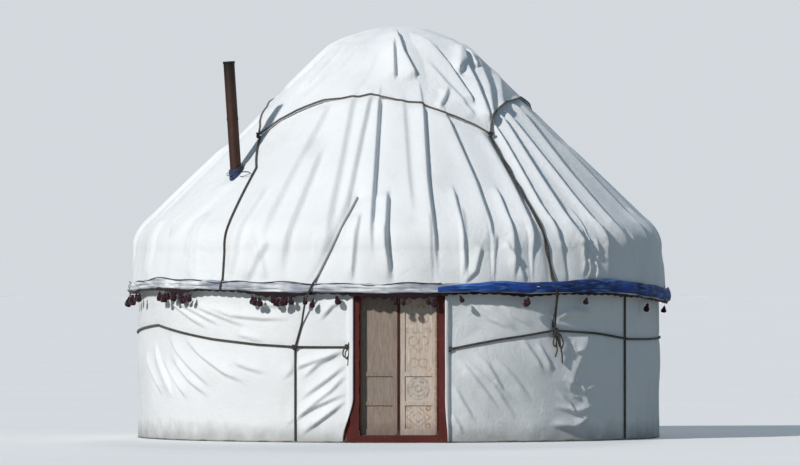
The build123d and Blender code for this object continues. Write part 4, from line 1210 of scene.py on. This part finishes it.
def make_ropes():
    sizes = settings().ropes
    tie, belt, lay = sizes.tie_diameter / 2, sizes.belt_diameter / 2, sizes.rope_lay
    rope = rope_finish("hair rope", tone("rope"))
    # The roof ties get painted light: pale where they lie lit on the roof
    sunlit = rope_finish("bleached rope", tone("rope"), 1.62)
    for name, line in TIES.items():
        path = tie_path(line, tie_radius, tie - 0.001)
        parts = doubled(path, tie * 0.85, lay) if name == "crown_tie_right_front" else tube(path, tie, 12, 3, lay)
        finish_piece(plain_mesh(name + "_rope", *parts), sunlit if "roof" in name else rope, replaces=[name])
    parts = tube(tie_path(WALL_TIE, wall_radius_at, tie - 0.001), tie, 12, 3, lay)
    finish_piece(plain_mesh("wall_tie_rope", *parts), rope, replaces=["wall_tie_right"])

    azimuth = np.arange(BELT[0][0], BELT[-1][0], 0.25)
    height = belt_height(azimuth) + 0.004 * np.sin(np.radians(azimuth * 9)) * ease((azimuth - 12) / 5)
    over = np.zeros(azimuth.shape)
    for crossing in BELT_CROSSINGS:
        over = np.maximum(over, 2 * tie * np.exp(-((azimuth - crossing) / 0.9) ** 2))
    path = smooth_path(on_bearing(np.radians(azimuth), WALL_OUTSIDE + belt - 0.002 + over, height), 0.012)
    thin = belt * 0.8
    parts = [tube(path, belt, 12, 3, lay)]
    parts += [knot(at, 1.725, crown_height(1.72) + 0.03, belt * 2.4, thin) for at in (33, 123, 213, 303)]
    parts += [knot(at, WALL_OUTSIDE + out, tall, belt * 2.2, thin) for at, tall, out in BELT_KNOTS]
    finish_piece(plain_mesh("belt_rope_lay", *joined(parts)), rope, replaces=["belt_rope"])
    hanging_ends("belt_bow", 35.4, spot(35.4, WALL_OUTSIDE + 0.045, 1.125), BOW_ENDS, tie * 0.8, rope)
    hanging_ends("door_post_loop", -10.8, spot(-10.8, WALL_OUTSIDE + 0.02, 0.966), POST_LOOPS, tie * 0.7, rope)


def make_frame():
    bare, paint = tone("bare_wood"), tone("frame_paint")
    dress(starting("lattice_"), wood_finish("painted lath", bare, tinted(bare, 0.6), paint, 0.56))
    dress(starting("roof_poles_"), wood_finish("painted pole", bare, tinted(bare, 0.6), paint, 0.58))
    dress(["crown_ring", "crown_crossbars"],
          wood_finish("painted crown", bare, tinted(bare, 0.55), tinted(paint, 0.85), 0.58, grain=(6, 6, 6)))

    stud = turned_form("thong_form", THONG_PROFILE, 6, lying=True)
    spots = []
    for row in range(7):
        shift, reach = (POLE_BAY / 2, 1) if row % 2 == 0 else (0, math.cos(math.radians(POLE_BAY / 2)))
        for number in range(POLES):
            azimuth = POLE_BAY * number + shift
            if min(azimuth, 360 - azimuth) >= THONG_FREE:
                spots.append(facing(azimuth, LATTICE_INSIDE * reach, CROSSING_FOOT + CROSSING_STEP * row, 180))
    rawhide = cloth_finish("rawhide thong", tone("rawhide"), tinted(tone("rawhide"), 0.6), 80)
    repeated("lath_thongs", stud, spots, 1.0, rawhide)

    turns = 5
    t = np.linspace(0, 1, turns * 16 + 1)
    wide, deep = 0.0225, 0.0235
    path = np.stack([wide * np.cos(FULL_TURN * turns * t), deep * np.sin(FULL_TURN * turns * t), (t - 0.5) * 0.045], -1)
    corner = np.maximum(np.abs(path[:, 0]) / wide, np.abs(path[:, 1]) / deep)
    path[:, :2] /= (corner ** 0.75)[:, None]
    lash = plain_mesh("lash_form", *tube(path, 0.0042, 5))
    azimuths = [POLE_BAY / 2 + POLE_BAY * number for number in range(POLES)]
    spots = [facing(a, POLE_FOOT_RADIUS, LASHING_HEIGHT) for a in azimuths if min(a, 360 - a) >= LASHING_FREE]
    repeated("pole_lashings", lash, spots, 1.0, rope_finish("lashing cord", tone("lashing")))


def painted_scroll(f, x, z, middle, width):
    """The painted lines of an ornament: rings and arcs mirrored about a leaf's middle line."""
    across = f.apart(x, middle)
    line = 0.0
    for out, tall, radius, *cut in SCROLL:
        dx, dz = f.math("SUBTRACT", across, out), f.math("SUBTRACT", z, tall)
        distance = f.math("SQRT", f.plus(f.times(dx, dx), f.times(dz, dz)))
        ring = f.span(f.apart(distance, radius), width, width * 0.5)
        if cut:
            ring = f.times(ring, f.math(cut[0], dz, cut[1]))
        line = f.math("MAXIMUM", line, ring)
    return line


def diamond(f, x, z, middle, tall, wide, high, width):
    """The outline of a painted diamond."""
    dx = f.math("DIVIDE", f.apart(x, middle), wide)
    dz = f.math("DIVIDE", f.apart(z, tall), high)
    return f.span(f.apart(f.plus(dx, dz), 1.0), width / wide, width / wide * 0.5)


def leaf_finish(name, colour, dark, middle, ornament=0.0):
    """A weathered painted door leaf: grain, rubbed paint, an orange border and a faint ornament."""
    f = Finish(name, 0.68)
    x, z = f.axis("X"), f.axis("Z")
    border = tone("leaf_edge")
    grain = f.noise(12, 6, stretch=(7, 7, 0.55), distortion=0.5)
    fine = f.noise(70, 5, stretch=(7, 7, 0.5))
    base = f.over(colour, dark, grain, 0.32, 0.7)
    base = f.over(base, tinted(dark, 0.62), fine, 0.5, 0.78, 0, 0.65)
    outer = f.times(f.math("SUBTRACT", x, middle), math.copysign(1.0, middle))
    base = f.over(base, border, f.plus(outer, f.times(f.noise(30, 4), 0.05)), 0.18, 0.215, 0, 0.85)
    base = f.over(base, border, f.plus(z, f.times(f.noise(24, 4), 0.08)), 1.46, 1.54, 0, 0.7)
    base = f.mix(f.math("LESS_THAN", f.math("ABSOLUTE", x), 0.017), base, tone("meeting_strip"))
    if ornament:
        lines = painted_scroll(f, x, z, middle, 0.014)
        for wide, high, width in ((0.122, 0.104, 0.014), (0.06, 0.052, 0.012)):
            lines = f.math("MAXIMUM", lines, diamond(f, x, z, middle, 0.255, wide, high, width))
        lines = f.times(lines, f.span(f.noise(22, 6), 0.34, 0.6, ornament, 0.1))
        paint = f.over((0.36, 0.16, 0.075), (0.25, 0.27, 0.25), z, 0.39, 0.41)
        paint = f.over(paint, (0.38, 0.28, 0.19), z, 0.68, 0.72)
        base = f.mix(lines, base, paint)
    foot = f.plus(z, f.times(f.noise(9, 4), 0.2))
    base = f.over(base, (0.1, 0.085, 0.07), foot, 0.1, 0.34, 0.55, 0)
    height = f.plus(f.times(grain, 0.6), f.times(fine, 0.6))
    return f.set(Base_Color=base, Normal=f.bump(height, 0.003))


def make_door():
    bare = tone("bare_wood")
    dress(["door_post_left", "door_post_right", "door_lintel", "door_threshold"],
          wood_finish("door frame paint", bare, tinted(bare, 0.5), tone("door_frame"), 0.62))
    for side, middle, painted in (("left", -0.1985, 0.25), ("right", 0.1985, 0.8)):
        # The left leaf's darker tone is partly painted shade from the left post
        colour = tone(side + "_leaf")
        dress(["door_leaf_" + side], leaf_finish(side + " leaf wood", colour, tinted(colour, 0.62), middle))
        dress(["door_panels_" + side],
              leaf_finish(side + " panel wood", tinted(colour, 1.04), tinted(colour, 0.66), middle, painted))


def pipe_finish():
    """Rusty sheet steel with soot towards the pipe's mouth."""
    f = Finish("rusty stove pipe", 0.62, Metallic=0.35, Specular_IOR_Level=0.4)
    patches = f.noise(11, 6, stretch=(1, 1, 0.35), distortion=1.0)
    base = f.over(tone("pipe"), tone("rust"), patches, 0.34, 0.66)
    base = f.over(base, tinted(tone("rust"), 0.4), f.noise(60, 5), 0.5, 0.75, 0, 0.6)
    soot = f.plus(f.axis("Z"), f.times(f.noise(9, 5), 0.35))
    base = f.over(base, (0.006, 0.005, 0.005), soot, 3.72, 4.02, 0, 0.92)
    return f.set(Base_Color=base, Normal=f.bump(f.noise(50, 6), 0.002))


def make_pipe():
    dress(["stove_pipe"], pipe_finish())
    root = np.array(PIPE_FOOT)
    lean = math.radians(PIPE_LEAN)
    axis = np.array((-math.sin(lean), 0, math.cos(lean)))
    side = np.array((math.cos(lean), 0, math.sin(lean)))
    deep = np.cross(axis, side)
    normal = spot(PIPE_AZIMUTH, math.sin(ROOF_SLOPE), math.cos(ROOF_SLOPE))

    def ring(t, reach):
        """A ring about the pipe, and how far each of its points is from the roof along the pipe."""
        reach = np.asarray(reach)[..., None]
        points = root + np.cos(t)[:, None] * side * reach + np.sin(t)[:, None] * deep * reach
        return points, -((points - root) @ normal) / (axis @ normal)

    draw = np.random.default_rng(17)
    parts = []
    t = np.linspace(0, FULL_TURN, 64, endpoint=False)
    for turn in range(5):
        tilt = draw.uniform(-0.7, 0.7)
        points, seat = ring(t, 0.0665 + 0.005 * np.sin(3 * t + draw.uniform(0, 6)) - 0.0012 * turn)
        level = seat * (1 - 0.16 * turn) + 0.012 + 0.012 * turn + tilt * 0.02 * np.cos(t)
        parts.append(tube(points + level[:, None] * axis, 0.0095, closed=True))
    cuff = plain_mesh("pipe_cuff", *joined(parts))
    finish_piece(cuff, cloth_finish("cuff cloth", tone("cuff"), tinted(tone("cuff"), 0.5), 40),
                 replaces=["pipe_collar"])

    t = np.linspace(0, FULL_TURN, 72, endpoint=False)
    parts = []
    for reach, level in ((0.072, 0.03), (0.0735, 0.052), (0.071, 0.074)):
        points, seat = ring(t, reach)
        parts.append(tube(points + (seat * 0.6 + level)[:, None] * axis, 0.0022, 6, closed=True))
    along = unit(np.cross(normal, (0, 0, 1.0)))
    uphill = np.cross(normal, along)
    sideways = -along if along @ side < 0 else along
    for reach, wide, high in ((0.158, 0.086, 0.036), (-0.112, 0.036, 0.018)):
        centre = root + sideways * reach + normal * 0.012
        loop = centre + np.cos(t)[:, None] * sideways * wide + np.sin(t)[:, None] * uphill * high
        parts.append(tube(loop + (0.006 * np.sin(2 * t))[:, None] * normal, 0.0034, 6, closed=True))
    f = Finish("iron wire", 0.5, Metallic=0.8)
    base = f.over((0.1, 0.12, 0.16), (0.05, 0.045, 0.045), f.noise(80, 3), 0.4, 0.7)
    wire = plain_mesh("pipe_wire", *joined(parts))
    finish_piece(wire, f.set(Base_Color=base, Normal=f.bump(f.noise(200, 3), 0.0005)))


def make_floor():
    """A wide floor that is paler to all rays but the camera's."""
    half = 400
    corners = [(-half, -half, -0.002), (half, -half, -0.002), (half, half, -0.002), (-half, half, -0.002)]
    floor = plain_mesh("studio_floor", corners, [(0, 1, 2, 3)], smooth=False)
    f = Finish("studio floor", 0.9)
    base = f.over((0.85, 0.85, 0.85), (0.87, 0.87, 0.87), f.noise(0.3, 2), 0.3, 0.7)
    base = f.mix(f.add("LightPath", {}).outputs["Is Camera Ray"], (0.3, 0.31, 0.29), base)
    floor.data.materials.append(f.set(Base_Color=base))


def make_world():
    """A soft blue fill, behind a plain grey that the camera and mirrors see."""
    world = bpy.data.worlds.new("studio")
    bpy.context.scene.world = world
    world.use_nodes = True
    nodes, links = world.node_tree.nodes, world.node_tree.links
    background = nodes["Background"]
    background.inputs[0].default_value = (0.54, 0.77, 1.0, 1)
    background.inputs[1].default_value = settings().stage.fill
    seen = nodes.new("ShaderNodeBackground")
    seen.inputs[0].default_value = (0.655, 0.69, 0.73, 1)
    path = nodes.new("ShaderNodeLightPath")
    share = path.outputs["Is Camera Ray"]
    for ray in ("Is Glossy Ray", "Is Transmission Ray"):
        either = nodes.new("ShaderNodeMath")
        either.operation = "MAXIMUM"
        links.new(share, either.inputs[0])
        links.new(path.outputs[ray], either.inputs[1])
        share = either.outputs[0]
    blend = nodes.new("ShaderNodeMixShader")
    for socket, source in enumerate((share, background.outputs[0], seen.outputs[0])):
        links.new(source, blend.inputs[socket])
    links.new(blend.outputs[0], nodes["World Output"].inputs[0])


def make_stage():
    make_floor()
    make_world()
    stage = settings().stage
    for name, strength, width, azimuth, elevation in (("key", stage.key, 2.5, -42, 31),
                                                      ("back", stage.back, 12, 172, 34)):
        sun = bpy.data.lights.new(name, "SUN")
        sun.energy = strength
        sun.angle = math.radians(width)
        sun.color = (1.0, 0.975, 0.94)
        elevation = math.radians(elevation)
        towards = Vector(spot(azimuth, math.cos(elevation), math.sin(elevation)))
        in_scene(name, sun).rotation_euler = towards.to_track_quat("Z", "Y").to_euler()
    inner = bpy.data.lights.new("inside", "POINT")
    inner.energy = stage.inside
    inner.shadow_soft_size = 0.3
    in_scene("inside", inner).location = (0, 0, 2.6)

    camera = in_scene("camera", bpy.data.cameras.new("camera"))
    camera.data.lens = CAMERA_LENS
    camera.data.clip_end = 2000
    camera.location = CAMERA_PLACE
    aim = Vector(CAMERA_TARGET) - camera.location
    camera.rotation_euler = aim.to_track_quat("-Z", "Y").to_euler()
    bpy.context.scene.camera = camera
    bpy.context.scene.view_settings.view_transform = "Standard"


# Add-on

def size(name, description, default):
    return FloatProperty(name=name, description=description, default=default, min=0.0, unit="LENGTH")


def number(name, description, default, low=0.0):
    return FloatProperty(name=name, description=description, default=default, min=low)


def colour(name, default):
    return FloatVectorProperty(name=name, description=f"Colour of the {name.lower()}", default=default, min=0, max=1,
                               subtype="COLOR")


def count(name, description, default):
    return IntProperty(name=name, description=description, default=default, min=4)


class CoverSizes(bpy.types.PropertyGroup):
    canvas_thickness: size("Canvas thickness", "Thickness of a canvas cover", 0.004)
    roof_rows: count("Roof rows", "Half the rows of faces from eave to crown", 51)
    roof_columns: count("Roof columns", "Half the columns of faces round the roof", 360)
    wall_rows: count("Wall rows", "Half the rows of faces up the wall", 48)
    wall_columns: count("Wall columns", "Half the columns of faces round the wall", 360)
    crown_rows: count("Crown rows", "Half the rows of faces from edge to apex", 32)
    crown_columns: count("Crown columns", "Half the columns of faces round the crown", 250)


class RopeSizes(bpy.types.PropertyGroup):
    tie_diameter: size("Tie diameter", "Thickness of a tie rope", 0.021)
    belt_diameter: size("Belt diameter", "Thickness of the belt rope", 0.023)
    edge_diameter: size("Edge rope diameter", "Thickness of the rope in the crown cover's edge", 0.02)
    rope_lay: size("Rope lay", "Length of one turn of a rope's strands", 0.08)


class TrimSizes(bpy.types.PropertyGroup):
    tassel_size: number("Tassel size", "Scale of the tassels", 1.0, 0.1)


class StageSizes(bpy.types.PropertyGroup):
    key: number("Key", "Strength of the key lamp", 3.0)
    back: number("Back", "Strength of the lamp behind the house", 0.5)
    fill: number("Fill", "Strength of the soft fill from all round", 0.28)
    inside: number("Inside", "Power of the lamp inside the house", 24.0)


class Colours(bpy.types.PropertyGroup):
    canvas: colour("Canvas", (0.845, 0.86, 0.875))
    dirt: colour("Dirt", (0.46, 0.45, 0.42))
    hem: colour("Hem canvas", (0.34, 0.36, 0.42))
    band: colour("Blue band", (0.018, 0.07, 0.34))
    # Near black: partly the band's own dark wool, partly painted shade under the eave
    tassel_band: colour("Tassel band", (0.012, 0.006, 0.01))
    tassel: colour("Tassels", (0.022, 0.004, 0.009))
    felt: colour("Felt", (0.5, 0.47, 0.42))
    rope: colour("Rope", (0.05, 0.043, 0.037))
    lashing: colour("Lashing cord", (0.3, 0.24, 0.17))
    rawhide: colour("Rawhide", (0.26, 0.17, 0.09))
    frame_paint: colour("Frame paint", (0.36, 0.07, 0.035))
    bare_wood: colour("Bare wood", (0.34, 0.2, 0.11))
    door_frame: colour("Door frame paint", (0.125, 0.026, 0.022))
    # The left leaf is darker than the right, partly its own plainer paint and partly painted shade cast by the left
    # post and its recess
    left_leaf: colour("Left leaf", (0.375, 0.295, 0.245))
    right_leaf: colour("Right leaf", (0.73, 0.61, 0.52))
    leaf_edge: colour("Leaf border", (0.35, 0.15, 0.08))
    meeting_strip: colour("Meeting strip", (0.11, 0.035, 0.028))
    pipe: colour("Stove pipe", (0.03, 0.02, 0.016))
    rust: colour("Pipe rust", (0.064, 0.025, 0.017))
    cuff: colour("Pipe cuff", (0.055, 0.085, 0.2))


class HouseSettings(bpy.types.PropertyGroup):
    covers: PointerProperty(type=CoverSizes)
    ropes: PointerProperty(type=RopeSizes)
    trim: PointerProperty(type=TrimSizes)
    stage: PointerProperty(type=StageSizes)
    colours: PointerProperty(type=Colours)


class RoofCanvas(bpy.types.Operator):
    """Makes the canvas over the roof, with its creases and the puffs of its skirt"""
    bl_idname = "felt_house.roof_canvas"
    bl_label = "Roof canvas"

    def execute(self, context):
        make_roof_canvas()
        return {"FINISHED"}


class WallCanvas(bpy.types.Operator):
    """Makes the canvas round the wall, with its diagonal folds"""
    bl_idname = "felt_house.wall_canvas"
    bl_label = "Wall canvas"

    def execute(self, context):
        make_wall_canvas()
        return {"FINISHED"}


class CrownCanvas(bpy.types.Operator):
    """Makes the square cover over the crown and the cord in its edge"""
    bl_idname = "felt_house.crown_canvas"
    bl_label = "Crown canvas"

    def execute(self, context):
        make_crown_canvas()
        return {"FINISHED"}


class FeltLining(bpy.types.Operator):
    """Makes the felt that shows from inside"""
    bl_idname = "felt_house.felt_lining"
    bl_label = "Felt lining"

    def execute(self, context):
        make_felt()
        return {"FINISHED"}


class EaveTrim(bpy.types.Operator):
    """Makes the rolled hem, the blue band, the scalloped band and its tassels"""
    bl_idname = "felt_house.eave_trim"
    bl_label = "Eave trim"

    def execute(self, context):
        make_eave()
        return {"FINISHED"}


class Ropes(bpy.types.Operator):
    """Makes the ties, the belt and its knots"""
    bl_idname = "felt_house.ropes"
    bl_label = "Ropes"

    def execute(self, context):
        make_ropes()
        return {"FINISHED"}


class FrameFinish(bpy.types.Operator):
    """Paints the lattice, poles and crown, and ties their joints"""
    bl_idname = "felt_house.frame_finish"
    bl_label = "Frame finish"

    def execute(self, context):
        make_frame()
        return {"FINISHED"}


class DoorFinish(bpy.types.Operator):
    """Paints the door frame, leaves and panels"""
    bl_idname = "felt_house.door_finish"
    bl_label = "Door finish"

    def execute(self, context):
        make_door()
        return {"FINISHED"}


class StovePipe(bpy.types.Operator):
    """Makes the pipe rusty and sooty and winds the cuff at its foot"""
    bl_idname = "felt_house.stove_pipe"
    bl_label = "Stove pipe"

    def execute(self, context):
        make_pipe()
        return {"FINISHED"}


class Stage(bpy.types.Operator):
    """Sets the floor, the light and the camera"""
    bl_idname = "felt_house.stage"
    bl_label = "Stage"

    def execute(self, context):
        make_stage()
        return {"FINISHED"}


STEPS = (Stage, RoofCanvas, WallCanvas, CrownCanvas, FeltLining, EaveTrim, Ropes, FrameFinish, DoorFinish, StovePipe)


class HousePanel(bpy.types.Panel):
    """Lists the pieces of the felt house"""
    bl_idname = "VIEW3D_PT_felt_house"
    bl_label = "Felt House"
    bl_space_type = "VIEW_3D"
    bl_region_type = "UI"
    bl_category = "Felt House"

    def draw(self, context):
        house = context.scene.felt_house
        for step in STEPS:
            self.layout.operator(step.bl_idname)
        for group in (house.covers, house.ropes, house.trim, house.stage, house.colours):
            box = self.layout.box()
            for key in group.__annotations__:
                box.prop(group, key)


CLASSES = (CoverSizes, RopeSizes, TrimSizes, StageSizes, Colours, HouseSettings) + STEPS + (HousePanel,)


def register():
    for each in CLASSES:
        bpy.utils.register_class(each)
    bpy.types.Scene.felt_house = PointerProperty(type=HouseSettings)


def unregister():
    del bpy.types.Scene.felt_house
    for each in reversed(CLASSES):
        bpy.utils.unregister_class(each)


def main():
    register()
    for step in STEPS:
        group, name = step.bl_idname.split(".")
        getattr(getattr(bpy.ops, group), name)()


if __name__ == "__main__":
    main()
